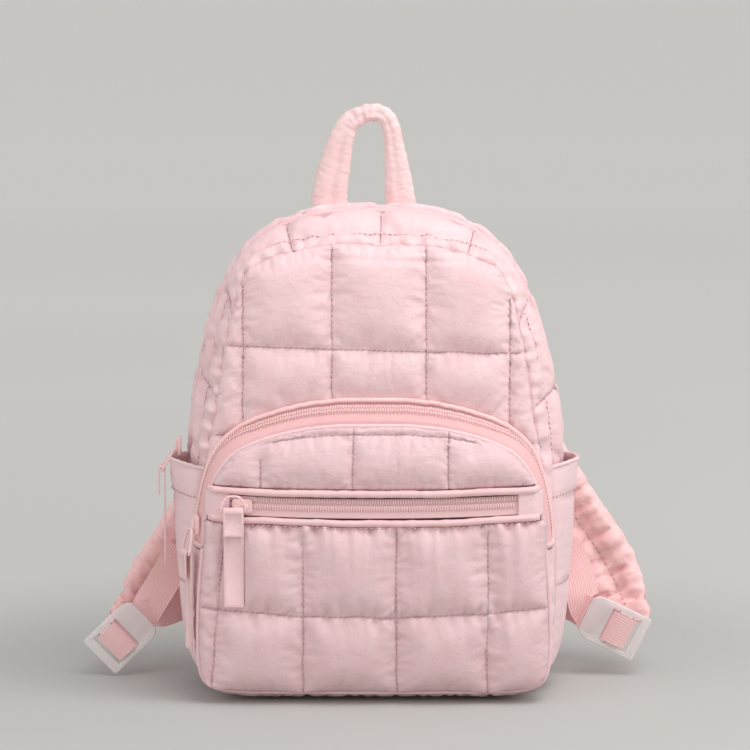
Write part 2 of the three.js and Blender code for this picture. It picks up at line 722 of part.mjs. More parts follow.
addPiece(backpack, 'front_panel', crownedPanel({
  rows: outlineRows,
  zColumn: 'frontZ',
  halfColumn: 'frontHalf',
  columns: 10,
  surfaceY: frontSurfaceY,
  wall: padWall,
  inward: 1,
}), nylonPink);
addPiece(backpack, 'front_gusset',
  gussetBand(() => frontSeamY, frontGussetRear, 3, padWall, 0, lastColumn), nylonPink);
const zipFront = () => zipFrontY + gap;
const zipRear = () => zipRearY - gap;
addPiece(backpack, 'main_zip',
  gussetBand(zipFront, zipRear, 1, tapeWall, firstZipColumn, lastColumn - firstZipColumn), tapePink);
addPiece(backpack, 'rear_gusset',
  gussetBand(rearGussetFront, () => backSeamY, 3, padWall, 0, lastColumn), nylonPink);
addPiece(backpack, 'back_panel', crownedPanel({
  rows: outlineRows,
  zColumn: 'backZ',
  halfColumn: 'backHalf',
  columns: 8,
  surfaceY: backSurfaceY,
  wall: backWall,
  inward: -1,
}), nylonPink);
addPiece(backpack, 'base_panel', basePanel(), nylonPink);

// Front pocket with its two zips
const weltTapeLow = weltZ - weltTapeHeight / 2;
const weltTapeHigh = weltZ + weltTapeHeight / 2;
const lipProud = 0.8;
const lipDepth = 4;
const tapeRecess = 2.5;
const endRecess = 0.6; // cloth that closes the two ends of the welt
const endDepth = 3;

// A strip of the welt across the pocket, set out from the panel's surface by a distance
function weltStrip(lowZ, highZ, leftX, rightX, proud, wall) {
  const columns = 14;
  const outer = [lowZ, highZ].map((z) => {
    const line = [];
    for (let j = 0; j <= columns; j += 1) {
      const x = lerp(leftX, rightX, j / columns);
      line.push(new THREE.Vector3(x, pocketSurfaceY(x, z) - proud, z));
    }
    return line;
  });
  const inner = outer.map((line) => line.map((p) => new THREE.Vector3(p.x, p.y + wall, p.z)));
  return wallSolid(outer, inner);
}

const upperLipLow = weltTapeHigh + gap;
const lowerLipLow = weltTapeLow - gap - weltLipHeight;
const lipHalf = 97;
addPiece(backpack, 'pocket_upper', pocketPanel(upperLipLow + weltLipHeight + gap, pocketTopZ), nylonLight);
addPiece(backpack, 'pocket_lower', pocketPanel(pocketBottomZ, lowerLipLow - gap), nylonLight);
addPiece(backpack, 'pocket_zip_band', pocketZipBand(), salmon);
addPiece(backpack, 'pocket_side', pocketSideWall(), nylonPink);
addPiece(backpack, 'welt_tape',
  weltStrip(weltTapeLow, weltTapeHigh, -weltHalfLength, weltHalfLength, -tapeRecess, tapeWall), tapePink);
for (const [name, lowZ] of [['welt_lip_upper', upperLipLow], ['welt_lip_lower', lowerLipLow]]) {
  const lip = weltStrip(lowZ, lowZ + weltLipHeight, -lipHalf, lipHalf, lipProud, lipDepth);
  addPiece(backpack, name, lip, salmon);
}
for (const [name, side] of [['welt_end_left', -1], ['welt_end_right', 1]]) {
  const ends = [side * (weltHalfLength + gap), side * lipHalf].sort((a, b) => a - b);
  addPiece(backpack, name, weltStrip(weltTapeLow, weltTapeHigh, ...ends, -endRecess, endDepth), nylonLight);
}

// Side pockets
addPiece(backpack, 'side_pocket_left', sidePocket(-1), nylonLight);
addPiece(backpack, 'side_pocket_right', sidePocket(1), nylonLight);

// Handle, straps, buckles and webbing
addPiece(backpack, 'grab_handle', grabHandle(), salmon);
for (const side of ['left', 'right']) {
  const row = buckleRows[side];
  const { acrossWay, tabWay, faceWay } = buckleWays(row);
  addPiece(backpack, `strap_${side}`, shoulderStrap(strapRows[side]), salmon);
  addPiece(backpack, `webbing_${side}`, webbingBand(row, webbingRows[side]), salmon);
  const buckle = addPiece(backpack, `buckle_${side}`, buckleFrame(), clearPink, 0.25);
  buckle.quaternion.setFromRotationMatrix(new THREE.Matrix4().makeBasis(acrossWay, tabWay, faceWay));
  buckle.position.set(row.x, row.y, row.z);
}

// Zip pulls: a slider on the tape, a wire ring and a folded tab
const tabHalfDepth = 2.4;
for (const row of pullRows) {
  const pull = new THREE.Group();
  const weltEyeY = pocketSurfaceY(row.eyeX + pullTabWidth / 2, weltZ) - lipProud - gap - tabHalfDepth;
  pull.position.set(row.eyeX, row.eyeY ?? weltEyeY, row.eyeZ);
  pull.rotation.z = THREE.MathUtils.degToRad(row.turn);
  backpack.add(pull);
  addPiece(pull, `${row.name}_tab`, pullTab(), salmon);
  const ring = addPiece(pull, `${row.name}_ring`, pullRing(row.ringHeight), metalPink, 0.35, 0.6);
  ring.rotation.x = -THREE.MathUtils.degToRad(row.lean);
  const seat = sliderRows[row.name];
  const slider = addPiece(pull, `${row.name}_slider`, zipSlider(seat.depth), metalPink, 0.35, 0.6);
  slider.position.set(seat.x, seat.behind + seat.depth, seat.up);
  slider.rotation.y = THREE.MathUtils.degToRad(seat.turn);
}

export default backpack;
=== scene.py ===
import math

import bpy
import numpy as np
from mathutils import Matrix, Vector, kdtree, noise
from mathutils.bvhtree import BVHTree


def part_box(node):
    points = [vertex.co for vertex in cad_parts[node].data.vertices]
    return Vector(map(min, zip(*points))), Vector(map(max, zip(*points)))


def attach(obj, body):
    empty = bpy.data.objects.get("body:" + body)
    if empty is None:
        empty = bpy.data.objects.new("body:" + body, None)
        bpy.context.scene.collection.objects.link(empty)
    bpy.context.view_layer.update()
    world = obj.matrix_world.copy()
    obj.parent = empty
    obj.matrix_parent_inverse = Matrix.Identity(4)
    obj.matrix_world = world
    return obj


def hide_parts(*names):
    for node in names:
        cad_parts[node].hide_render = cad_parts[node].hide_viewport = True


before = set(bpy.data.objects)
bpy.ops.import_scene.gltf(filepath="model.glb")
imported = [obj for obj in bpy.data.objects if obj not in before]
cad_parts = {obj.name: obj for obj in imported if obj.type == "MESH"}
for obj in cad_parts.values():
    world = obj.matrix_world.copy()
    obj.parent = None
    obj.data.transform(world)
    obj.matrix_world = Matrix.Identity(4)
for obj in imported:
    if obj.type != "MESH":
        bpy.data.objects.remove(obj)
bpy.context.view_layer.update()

mm = 0.001
print("frame loaded:", len(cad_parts), "nodes")

# camera, floor and light
studio = {
    "aimAt": (0.0006, -0.030, 0.194),    # point of the bag in the middle of the picture
    "azimuth": 0.0,
    "elevation": 7.2,
    "distance": 1.9,
    "frameWidth": 0.450,                 # what the picture spans at the aimed point
    "sensor": 36.0, "clipStart": 0.05,
    "floorSize": 120,                    # wide enough to reach past the top of the picture
    "tint": (1, 0.995, 0.957),
    "tones": ((0.25, 0.495), (0.4, 0.58), (0.8, 0.67), (1.4, 0.79),    # paler away from the lamps,
              (2.3, 0.9), (4.2, 0.98), (6.0, 1.0)),                    # so that it looks even
    "paperRoughness": 0.9,
    "lamps": [                           # name, place, aim, size, watts
        ("topSoftbox", (0.45, -0.5, 1.3), (0, 0, 0.22), (1.0, 0.8), 10),
        ("rightSoftbox", (2.1, -0.8, 1.3), (0, 0, 0.2), (1.4, 1.4), 15),
        ("leftFill", (-1.9, -1.4, 0.9), (0, 0, 0.1), (1.4, 1.4), 10.5),
    ],
    "worldColor": (1, 0.99, 0.98, 1), "worldStrength": 0.57,
}


def addCamera():
    turn, rise = math.radians(studio["azimuth"]), math.radians(studio["elevation"])
    away = Vector((math.sin(turn) * math.cos(rise), -math.cos(turn) * math.cos(rise), math.sin(rise)))
    aim = Vector(studio["aimAt"])
    bpy.ops.object.camera_add(location=aim + away * studio["distance"])
    camera = bpy.context.object
    camera.name = "photoCamera"
    camera.rotation_euler = (-away).to_track_quat("-Z", "Y").to_euler()
    camera.data.sensor_width = studio["sensor"]
    camera.data.lens = studio["sensor"] * studio["distance"] / studio["frameWidth"]
    camera.data.clip_start = studio["clipStart"]
    bpy.context.scene.camera = camera


def addLight(name, place, target, size, power):
    bpy.ops.object.light_add(type="AREA", location=place)
    lamp = bpy.context.object
    lamp.name = name
    lamp.data.shape = "RECTANGLE"
    lamp.data.size, lamp.data.size_y = size
    lamp.data.energy = power
    lamp.rotation_euler = (Vector(target) - Vector(place)).to_track_quat("-Z", "Y").to_euler()


def addFloor():
    bpy.ops.object.select_all(action="DESELECT")
    bpy.ops.mesh.primitive_plane_add(size=studio["floorSize"], location=(0, 0, 0))
    floor = bpy.context.object
    floor.name = "studioFloor"
    material = bpy.data.materials.new("studioPaper")
    material.use_nodes = True
    shader = material.node_tree.nodes["Principled BSDF"]
    place = material.node_tree.nodes.new("ShaderNodeTexCoord")
    far = material.node_tree.nodes.new("ShaderNodeVectorMath")
    far.operation = "LENGTH"
    ramp = material.node_tree.nodes.new("ShaderNodeMapRange")
    ramp.inputs["From Max"].default_value = studio["tones"][-1][0]
    tone = material.node_tree.nodes.new("ShaderNodeValToRGB")
    while len(tone.color_ramp.elements) < len(studio["tones"]):
        tone.color_ramp.elements.new(0.5)
    for stop, (reach, shade) in zip(tone.color_ramp.elements, studio["tones"]):
        stop.position = reach / studio["tones"][-1][0]
        stop.color = (*(shade * part for part in studio["tint"]), 1)
    link = material.node_tree.links.new
    link(place.outputs["Object"], far.inputs[0])
    link(far.outputs["Value"], ramp.inputs["Value"])
    link(ramp.outputs["Result"], tone.inputs["Fac"])
    link(tone.outputs["Color"], shader.inputs["Base Color"])
    shader.inputs["Roughness"].default_value = studio["paperRoughness"]
    floor.data.materials.append(material)


bpy.context.scene.view_settings.view_transform = "Standard"
addCamera()
addFloor()
for lamp in studio["lamps"]:
    addLight(*lamp)
world = bpy.context.scene.world or bpy.data.worlds.new("studioWorld")
bpy.context.scene.world = world
world.use_nodes = True
backdrop = world.node_tree.nodes["Background"]
backdrop.inputs["Color"].default_value = studio["worldColor"]
backdrop.inputs["Strength"].default_value = studio["worldStrength"]
print("studio ready")

# shared tools for the sewn pieces
nodeTrees = {}
sewnLines = {"quilt": [], "seam": [], "tape": [], "strap": []}    # thread runs, sewn at the end
clothSteps = {"lineStep": 0.8 * mm, "swayUpright": 0.9 * mm, "swayLevel": 1.0 * mm, "lineGrain": 0.7 * mm,
              "castFrom": 0.6, "shake": 0.05 * mm, "tabGap": 0.3 * mm, "simGrow": 20, "frames": 24}


def nodeTree(node):
    if node not in nodeTrees:
        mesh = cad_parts[node].data
        corners = [v.co.copy() for v in mesh.vertices]
        nodeTrees[node] = BVHTree.FromPolygons(corners, [tuple(p.vertices) for p in mesh.polygons])
    return nodeTrees[node]


def castOnto(node, start, way):
    return nodeTree(node).ray_cast(Vector(start), Vector(way).normalized())[0]


def rimOf(node, y, centre, count=720, start=0.0, sweep=2 * math.pi):
    # outline of a node in the X-Z plane, seen from outside, from the bottom round by the right side
    points = []
    for k in range(count):
        angle = start + sweep * k / (count - 1 if sweep < 6.28 else count)
        way = Vector((math.sin(angle), 0, -math.cos(angle)))
        hit = castOnto(node, Vector((centre[0], y, centre[1])) + way * clothSteps["castFrom"], -way)
        if hit:
            points.append((hit.x, hit.z))
    return np.array(points)


def evenRun(points, count, ease=None):
    # the same line with evenly spaced points; ease bunches them
    points = np.asarray(points, float)
    steps = np.r_[0, np.cumsum(np.linalg.norm(np.diff(points, axis=0), axis=1))]
    wanted = np.linspace(0, 1, count)
    if ease is not None:
        wanted = ease(wanted)
    return np.stack([np.interp(wanted * steps[-1], steps, points[:, k]) for k in range(points.shape[1])], 1)


def runLength(points):
    return float(np.linalg.norm(np.diff(np.asarray(points), axis=0), axis=1).sum())


def cutRun(ring, first, last):
    # the stretch of a closed ring from the point nearest first to the one nearest last
    a = int(np.argmin(np.linalg.norm(ring - np.array(first), axis=1)))
    b = int(np.argmin(np.linalg.norm(ring - np.array(last), axis=1)))
    return ring[a:b + 1] if a <= b else np.vstack([ring[a:], ring[:b + 1]])


def rimEdges(rim, low, high, rows, cols, ease=None):
    # bottom, top, left and right edges of a panel, cut from its outline at two mirrored pairs of corners
    (lowX, lowZ), (highX, highZ) = low, high
    right = evenRun(cutRun(rim, (lowX, lowZ), (highX, highZ)), rows, ease)
    top = evenRun(cutRun(rim, (highX, highZ), (-highX, highZ)), cols)[::-1]
    left = evenRun(cutRun(rim, (-highX, highZ), (-lowX, lowZ))[::-1], rows, ease)
    bottom = evenRun(cutRun(rim, (-lowX, lowZ), (lowX, lowZ)), cols)
    return bottom, top, left, right


def patchGrid(bottom, top, left, right):
    # a smooth net between four edges; left and right run upwards, bottom and top to the right
    rows, cols = len(left), len(bottom)
    u = np.linspace(0, 1, cols)[None, :, None]
    v = np.linspace(0, 1, rows)[:, None, None]
    across = left[:, None] * (1 - u) + right[:, None] * u
    along = bottom[None] * (1 - v) + top[None] * v
    corners = ((1 - u) * (1 - v) * bottom[0] + u * (1 - v) * bottom[-1]
               + (1 - u) * v * top[0] + u * v * top[-1])
    return across + along - corners


def borderOf(rows, cols):
    edge = np.zeros((rows, cols), bool)
    edge[0], edge[-1], edge[:, 0], edge[:, -1] = True, True, True, True
    return edge


def inOrder(run, line, points):
    # the points of a sewn line, from left to right or from the bottom up
    level = np.ptp(line[:, 0]) > np.ptp(line[:, 1])
    return sorted(run, key=lambda k: points[k, 0 if level else 2])


def addNet(name, points):
    # a grid primitive pulled to a net of points, rows by columns, with its arc lengths as UV
    rows, cols = points.shape[:2]
    bpy.ops.object.select_all(action="DESELECT")
    bpy.ops.mesh.primitive_grid_add(x_subdivisions=cols - 1, y_subdivisions=rows - 1, size=2)
    piece = bpy.context.object
    piece.name = piece.data.name = name
    mesh = piece.data
    flat = np.empty(len(mesh.vertices) * 3)
    mesh.vertices.foreach_get("co", flat)
    flat = flat.reshape(-1, 3)
    column = np.rint((flat[:, 0] + 1) / 2 * (cols - 1)).astype(int)
    row = np.rint((flat[:, 1] + 1) / 2 * (rows - 1)).astype(int)
    mesh.vertices.foreach_set("co", points[row, column].ravel())
    order = np.empty((rows, cols), int)
    order[row, column] = np.arange(len(column))
    stepU = np.linalg.norm(np.diff(points, axis=1), axis=2)
    stepV = np.linalg.norm(np.diff(points, axis=0), axis=2)
    u = np.concatenate([np.zeros((rows, 1)), np.cumsum(stepU, 1)], 1)
    v = np.concatenate([np.zeros((1, cols)), np.cumsum(stepV, 0)], 0)
    corner = np.empty(len(mesh.loops), int)
    mesh.loops.foreach_get("vertex_index", corner)
    uv = np.stack([u[row, column][corner], v[row, column][corner]], 1)
    mesh.uv_layers[0].data.foreach_set("uv", uv.ravel().astype(np.float32))
    mesh.update()
    return piece, order


def shapeOf(piece):
    flat = np.empty(len(piece.data.vertices) * 3)
    piece.data.vertices.foreach_get("co", flat)
    return flat.reshape(-1, 3)


def setShape(piece, points):
    piece.data.vertices.foreach_set("co", np.asarray(points, float).ravel())
    piece.data.update()


def normalsOf(piece):
    flat = np.empty(len(piece.data.vertices) * 3)
    piece.data.vertices.foreach_get("normal", flat)
    return flat.reshape(-1, 3)


def lineTree(line):
    tree = kdtree.KDTree(len(line))
    for k, p in enumerate(line):
        tree.insert(p, k)
    tree.balance()
    return tree


def activate(piece):
    bpy.ops.object.select_all(action="DESELECT")
    piece.select_set(True)
    bpy.context.view_layer.objects.active = piece


def applyModifier(piece, name, kind, **values):
    activate(piece)
    modifier = piece.modifiers.new(name, kind)
    for key, value in values.items():
        setattr(modifier, key, value)
    bpy.ops.object.modifier_apply(modifier=name)


def snapLine(points, net, reach):
    # moves the nearest points of a flat net onto a sewn line, and says which they are
    found = {}
    for p in points:
        gap = np.linalg.norm(net - p, axis=1)
        k = int(np.argmin(gap))
        if gap[k] < reach and (k not in found or gap[k] < found[k][0]):
            found[k] = (gap[k], p)
    for k, (gap, p) in found.items():
        net[k] = p
    return list(found)


def uprightLine(x, low, high, lean=0.0):
    # a sewn line up a panel, a little unsteady
    z = np.arange(low, high, clothSteps["lineGrain"])
    sway = np.array([noise.noise((v / mm / 17, x / mm, 1)) for v in z]) * clothSteps["swayUpright"]
    return np.stack([x + lean * (z - low) + sway, z], 1)


def levelLine(z, half, dip=0.0, tilt=0.0, low=None):
    # a sewn line across a panel, from low or from -half; dip sags its middle
    x = np.arange(-half if low is None else low, half, clothSteps["lineGrain"])
    sway = np.array([noise.noise((v / mm / 19, z / mm, 3)) for v in x]) * clothSteps["swayLevel"]
    return np.stack([x, z - dip * np.cos(x / half * math.pi / 2) + tilt * x / half + sway], 1)


def pressUnder(piece, node, shift, slope=1.1):
    # cloth that a pull tab lies on gives way under it
    low, high = np.array(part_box(node)) + shift
    skin = shapeOf(piece)
    apart = np.hypot(np.maximum(np.maximum(low[0] - skin[:, 0], skin[:, 0] - high[0]), 0),
                     np.maximum(np.maximum(low[2] - skin[:, 2], skin[:, 2] - high[2]), 0))
    skin[:, 1] = np.maximum(skin[:, 1], high[1] + clothSteps["tabGap"] - slope * apart)
    setShape(piece, skin)


def puffCloth(piece, held, pressure, spare, cap=14 * mm, bend=0.05, seed=1):
    # blows up the cloth between its sewn lines; spare is the extra cloth that gathers into puckers
    still = shapeOf(piece)
    grow = clothSteps["simGrow"]         # simulated large, where the solver is steady
    shake = np.random.default_rng(seed).normal(0, clothSteps["shake"], still.shape)
    setShape(piece, (still + shake) * grow)
    group = piece.vertex_groups.new(name="sewn")
    group.add([int(k) for k in held], 1.0, "REPLACE")
    activate(piece)
    cloth = piece.modifiers.new("puff", "CLOTH")
    cloth.collision_settings.use_collision = False
    frames = clothSteps["frames"]
    cloth.point_cache.frame_start, cloth.point_cache.frame_end = 1, frames + 1
    fabric = cloth.settings
    fabric.quality = 5
    fabric.mass = 0.1
    fabric.tension_stiffness = fabric.compression_stiffness = 15
    fabric.shear_stiffness = 4
    fabric.bending_stiffness = bend
    fabric.use_pressure = True
    fabric.uniform_pressure_force = pressure
    fabric.vertex_group_mass = "sewn"
    fabric.shrink_min = -spare
    fabric.effector_weights.gravity = 0
    for number in range(1, frames + 1):
        bpy.context.scene.frame_set(number)
    bpy.ops.object.modifier_apply(modifier="puff")
    piece.vertex_groups.clear()
    move = shapeOf(piece) / grow - still
    far = np.linalg.norm(move, axis=1, keepdims=True)
    move *= np.minimum(1, cap / np.maximum(far, 1e-9))
    move[held] = 0
    setShape(piece, still + move)
    bpy.context.scene.frame_set(1)
    print(piece.name, "puffed by", round(float(far.max()) / mm, 1), "mm")


def puckerAlong(piece, lines, depth, reach, wave, seed):
    # small gathers that run off a sewn line at right angles
    skin, step = shapeOf(piece), clothSteps["lineStep"]
    move = np.zeros(len(skin))
    for number, line in enumerate(lines):
        line = evenRun(line, max(int(runLength(line) / step), 3))
        tree = lineTree(line)
        for k, p in enumerate(skin):
            near, index, far = tree.find(p)
            if far < 3.2 * reach:
                fade = math.exp(-far / reach) * min(far / (1.8 * mm), 1)
                move[k] += fade * noise.noise((index * step / wave, far / reach * 0.4, seed + number * 3.7))
    setShape(piece, skin + normalsOf(piece) * move[:, None] * depth * 2)


def easeNear(piece, order, spot, reach, rounds=16):
    # smooths a net round one of its corners, where the cells are slivers
    skin = shapeOf(piece)
    grid = skin[order]
    far = np.hypot(grid[..., 0] - spot[0], grid[..., 2] - spot[1])[1:-1, 1:-1, None]
    near = np.clip(1.4 - far / reach * 1.4, 0, 1)
    for _ in range(rounds):
        mean = (grid[2:, 1:-1] + grid[:-2, 1:-1] + grid[1:-1, 2:] + grid[1:-1, :-2]) / 4
        grid[1:-1, 1:-1] += (mean - grid[1:-1, 1:-1]) * near
    skin[order] = grid
    setShape(piece, skin)


def layOn(piece, points, ways, lift=0.3 * mm):
    # a line of thread moved onto the finished cloth
    mesh = piece.data
    tree = BVHTree.FromPolygons([v.co for v in mesh.vertices], [tuple(p.vertices) for p in mesh.polygons])
    laid = []
    for point, way in zip(points, ways):
        hit = tree.ray_cast(Vector(point + way * 8 * mm), -Vector(way), 16 * mm)[0]
        laid.append(np.array(hit) + way * lift if hit else point)
    return np.array(laid)


def foldAcross(piece, lines, depth, spacing, width, reach, seed):
    # creases at right angles to a sewn channel, from the channel to the edge
    skin, step = shapeOf(piece), clothSteps["lineStep"]
    move = np.zeros(len(skin))
    for number, line in enumerate(lines):
        length = runLength(line)
        line = evenRun(line, int(length / step))
        tree = lineTree(line)
        draw = np.random.default_rng(seed + number)
        creases = np.arange(0, length + spacing, spacing)
        creases = creases + draw.uniform(-0.25, 0.25, len(creases)) * spacing
        strength = draw.uniform(0.45, 1.0, (2, len(creases)))
        slant = draw.uniform(-0.35, 0.1, len(creases))
        for k, p in enumerate(skin):
            near, index, far = tree.find(p)
            if far < reach:
                side = int(p[0] > near[0])
                gaps = np.abs(index * step + far * slant - creases)
                at = int(np.argmin(gaps))
                fade = min(far / (2 * mm), 1) * min((reach - far) / (0.4 * reach), 1)
                move[k] -= fade * strength[side, at] * math.exp(-(gaps[at] / width) ** 2)
    setShape(piece, skin + normalsOf(piece) * move[:, None] * depth)


def finishPiece(piece, material, slot, *nodes):
    activate(piece)
    bpy.ops.object.shade_smooth()
    piece.data.materials.clear()
    piece.data.materials.append(material)
    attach(piece, "root")
    if nodes:
        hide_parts(*nodes)
    return piece


def thicken(piece, thickness):
    applyModifier(piece, "wall", "SOLIDIFY", thickness=thickness, offset=-1, use_even_offset=False)


def pillShape():
    # one stitch or zip tooth, modelled once as a small rounded bar along X
    bpy.ops.object.select_all(action="DESELECT")
    bpy.ops.mesh.primitive_uv_sphere_add(segments=6, ring_count=5, radius=0.5, rotation=(0, math.pi / 2, 0))
    bpy.ops.object.transform_apply(location=False, rotation=True, scale=False)
    bar = bpy.context.object
    corners, faces = shapeOf(bar), [tuple(p.vertices) for p in bar.data.polygons]
    bpy.data.objects.remove(bar)
    return corners, faces


pillCorners, pillFaces = pillShape()


def scatterPills(name, places, sizes):
    # copies of the bar, each at (middle, along, up), joined into one mesh
    corners, faces = [], []
    for middle, along, up in places:
        along = Vector(along).normalized()
        across = Vector(up).cross(along).normalized()
        turn = np.array([along, across, along.cross(across)])
        faces += [tuple(k + len(corners) * len(pillCorners) for k in face) for face in pillFaces]
        corners.append((pillCorners * np.array(sizes)) @ turn + np.array(middle))
    mesh = bpy.data.meshes.new(name)
    mesh.from_pydata(np.concatenate(corners), [], faces)
    piece = bpy.data.objects.new(name, mesh)
    bpy.context.collection.objects.link(piece)
    return piece


def sew(kind, points, out):
    # remembers a line of thread; out is the way that the cloth faces, one for all or one for each point
    points = np.asarray(points, float)
    if len(points) > 1:
        sewnLines[kind].append((points, np.broadcast_to(np.asarray(out, float), points.shape)))


def sewPins(kind, points, run, out):
    # a sewn line holds the cloth all along
    sew(kind, points[run], out)
    return run


def stitchPlaces(runs, length, pitch, lift):
    # middle, slightly slanted way and outward way of each stitch
    places = []
    for points, outs in runs:
        steps = np.r_[0, np.cumsum(np.linalg.norm(np.diff(points, axis=0), axis=1))]
        at = lambda s, values: np.array([np.interp(s, steps, values[:, k]) for k in range(3)])
        for s in np.arange(pitch * 0.5, steps[-1], pitch):
            a, b = at(max(s - length / 2, 0), points), at(min(s + length / 2, steps[-1]), points)
            out = at(s, outs)
            places.append(((a + b) / 2 + out * lift, b - a + np.cross(out, b - a) * 0.22, out))
    return places


def addTube(name, rings, closed=False):
    # a skin over rings of points; open ends are capped
    rings = np.asarray(rings)
    net = np.concatenate([rings, rings[:, :1]], 1).transpose(1, 0, 2)      # back to the first side
    if closed:
        net = np.concatenate([net, net[:, :1]], 1)
    piece, order = addNet(name, net)
    bpy.ops.object.mode_set(mode="EDIT")
    bpy.ops.mesh.select_all(action="SELECT")
    bpy.ops.mesh.remove_doubles(threshold=1e-6)
    if not closed:
        bpy.ops.mesh.select_all(action="SELECT")
        bpy.ops.mesh.fill_holes(sides=0)
    bpy.ops.mesh.select_all(action="SELECT")
    bpy.ops.mesh.normals_make_consistent(inside=False)
    bpy.ops.object.mode_set(mode="OBJECT")
    return piece


def ovalRings(path, wide, deep, width, depth, sides=14, power=1.0):
    # oval sections along a path; wide and deep are the ways of the section, width and depth its full sizes
    path = np.asarray(path, float)
    wide, deep = (np.broadcast_to(np.asarray(w, float), path.shape) for w in (wide, deep))
    width, depth = (np.broadcast_to(np.asarray(w, float), (len(path),)) for w in (width, depth))
    angle = np.arange(sides) * 2 * math.pi / sides
    shape = lambda t: np.sign(t) * np.abs(t) ** power
    return (path[:, None] + wide[:, None] * (width[:, None] / 2 * shape(np.cos(angle)))[:, :, None]
            + deep[:, None] * (depth[:, None] / 2 * shape(np.sin(angle)))[:, :, None])


def bandNet(node, centre, start, sweep, yRange, cols, rows, step=0.4 * mm):
    # skin of a band that stands round the pocket, rows from its front edge to the panel behind
    middle = rimOf(node, yRange[0] + 2 * mm, centre, 500, math.radians(start), math.radians(sweep))[::-1]
    net = []
    for x, z in evenRun(middle, cols):
        way = Vector((x - centre[0], 0, z - centre[1])).normalized()
        hits = [castOnto(node, Vector((centre[0], y, centre[1])) + way * clothSteps["castFrom"], -way)
                for y in np.arange(yRange[0], yRange[1], step)]
        net.append(evenRun([tuple(h) for h in hits if h], rows))
    return np.array(net).transpose(1, 0, 2)


def smoothPath(points, count):
    # a soft curve through the points, evenly spaced
    points = np.asarray(points, float)
    padded = np.vstack([2 * points[0] - points[1], points, 2 * points[-1] - points[-2]])
    fine = []
    for k in range(1, len(padded) - 2):
        a, b, c, d = padded[k - 1:k + 3]
        for t in np.linspace(0, 1, 16, endpoint=False):
            fine.append(0.5 * (2 * b + (c - a) * t + (2 * a - 5 * b + 4 * c - d) * t ** 2
                               + (3 * b - a - 3 * c + d) * t ** 3))
    return evenRun(fine + [points[-1]], count)


def unit(ways):
    ways = np.asarray(ways, float)
    return ways / np.maximum(np.linalg.norm(ways, axis=-1, keepdims=True), 1e-12)


def dressNode(node, name, material, slot, bevel, segments=3):
    # a merged copy of a CAD node with soft edges
    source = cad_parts[node]
    piece = bpy.data.objects.new(name, source.data.copy())
    bpy.context.collection.objects.link(piece)
    piece.data.name = name
    piece.data.materials.clear()
    activate(piece)
    bpy.ops.object.mode_set(mode="EDIT")
    bpy.ops.mesh.select_all(action="SELECT")
    bpy.ops.mesh.remove_doubles(threshold=1e-5)
    bpy.ops.mesh.dissolve_limited(angle_limit=math.radians(3))
    bpy.ops.object.mode_set(mode="OBJECT")
    applyModifier(piece, "softEdges", "BEVEL", width=bevel, segments=segments,
                  limit_method="ANGLE", angle_limit=math.radians(35))
    finishPiece(piece, material, slot, node)
    activate(piece)
    bpy.ops.object.shade_smooth_by_angle(angle=math.radians(40))
    return piece

# finishes
clothLook = {
    "light": (0.875, 0.628, 0.65, 1), "deep": (0.84, 0.573, 0.595, 1),
    "pocketShadedLight": (0.80, 0.572, 0.595, 1), "pocketShadedDeep": (0.765, 0.52, 0.542, 1),   # painted shade: the body's nylon a little deeper on the pocket panels, where the light falls off lower down
    "blotch": {"Scale": 55, "Detail": 4, "Roughness": 0.6}, "spread": {"From Min": 0.32, "From Max": 0.62},
    # scale, detail, roughness, distortion and depth of each relief
    "streak": (160, 3, 0.55, 0.8, 2.2 * mm),
    "crease": (170, 3, 0.55, 0.8, 2.2 * mm),
    "fineCrease": (420, 2, 0.5, 0.4, 0.9 * mm),
    "weave": (2600, 1, 0.5, 0.0, 0.15 * mm),
    "weaveStrength": 0.25,
    "surface": {"Roughness": 0.52, "Sheen Weight": 0.25, "Sheen Roughness": 0.4,
                "Sheen Tint": (1, 0.88, 0.88, 1), "Specular IOR Level": 0.35},
}


def setInputs(node, inputs):
    for key, value in inputs.items():
        node.inputs[key].default_value = value


def addNode(tree, kind, inputs=None, **values):
    node = tree.nodes.new(kind)
    for key, value in values.items():
        setattr(node, key, value)
    setInputs(node, inputs or {})
    return node


def startMaterial(name):
    material = bpy.data.materials.new(name)
    material.use_nodes = True
    return material, material.node_tree, material.node_tree.nodes["Principled BSDF"]


def mixTone(tree, deep, light, factor, shader):
    tone = addNode(tree, "ShaderNodeMix", data_type="RGBA")
    tone.inputs["A"].default_value, tone.inputs["B"].default_value = deep, light
    tree.links.new(factor, tone.inputs["Factor"])
    tree.links.new(tone.outputs["Result"], shader.inputs["Base Color"])


def addRelief(tree, place, grain, strength, below=None):
    # a bump from one noise, over the relief below it
    scale, detail, roughness, distortion, depth = grain
    texture = addNode(tree, "ShaderNodeTexNoise", {"Scale": scale, "Detail": detail, "Roughness": roughness,
                                                   "Distortion": distortion})
    bump = addNode(tree, "ShaderNodeBump", {"Strength": strength, "Distance": depth})
    tree.links.new(place, texture.inputs["Vector"])
    tree.links.new(texture.outputs["Fac"], bump.inputs["Height"])
    if below is not None:
        tree.links.new(below, bump.inputs["Normal"])
    return bump.outputs["Normal"]


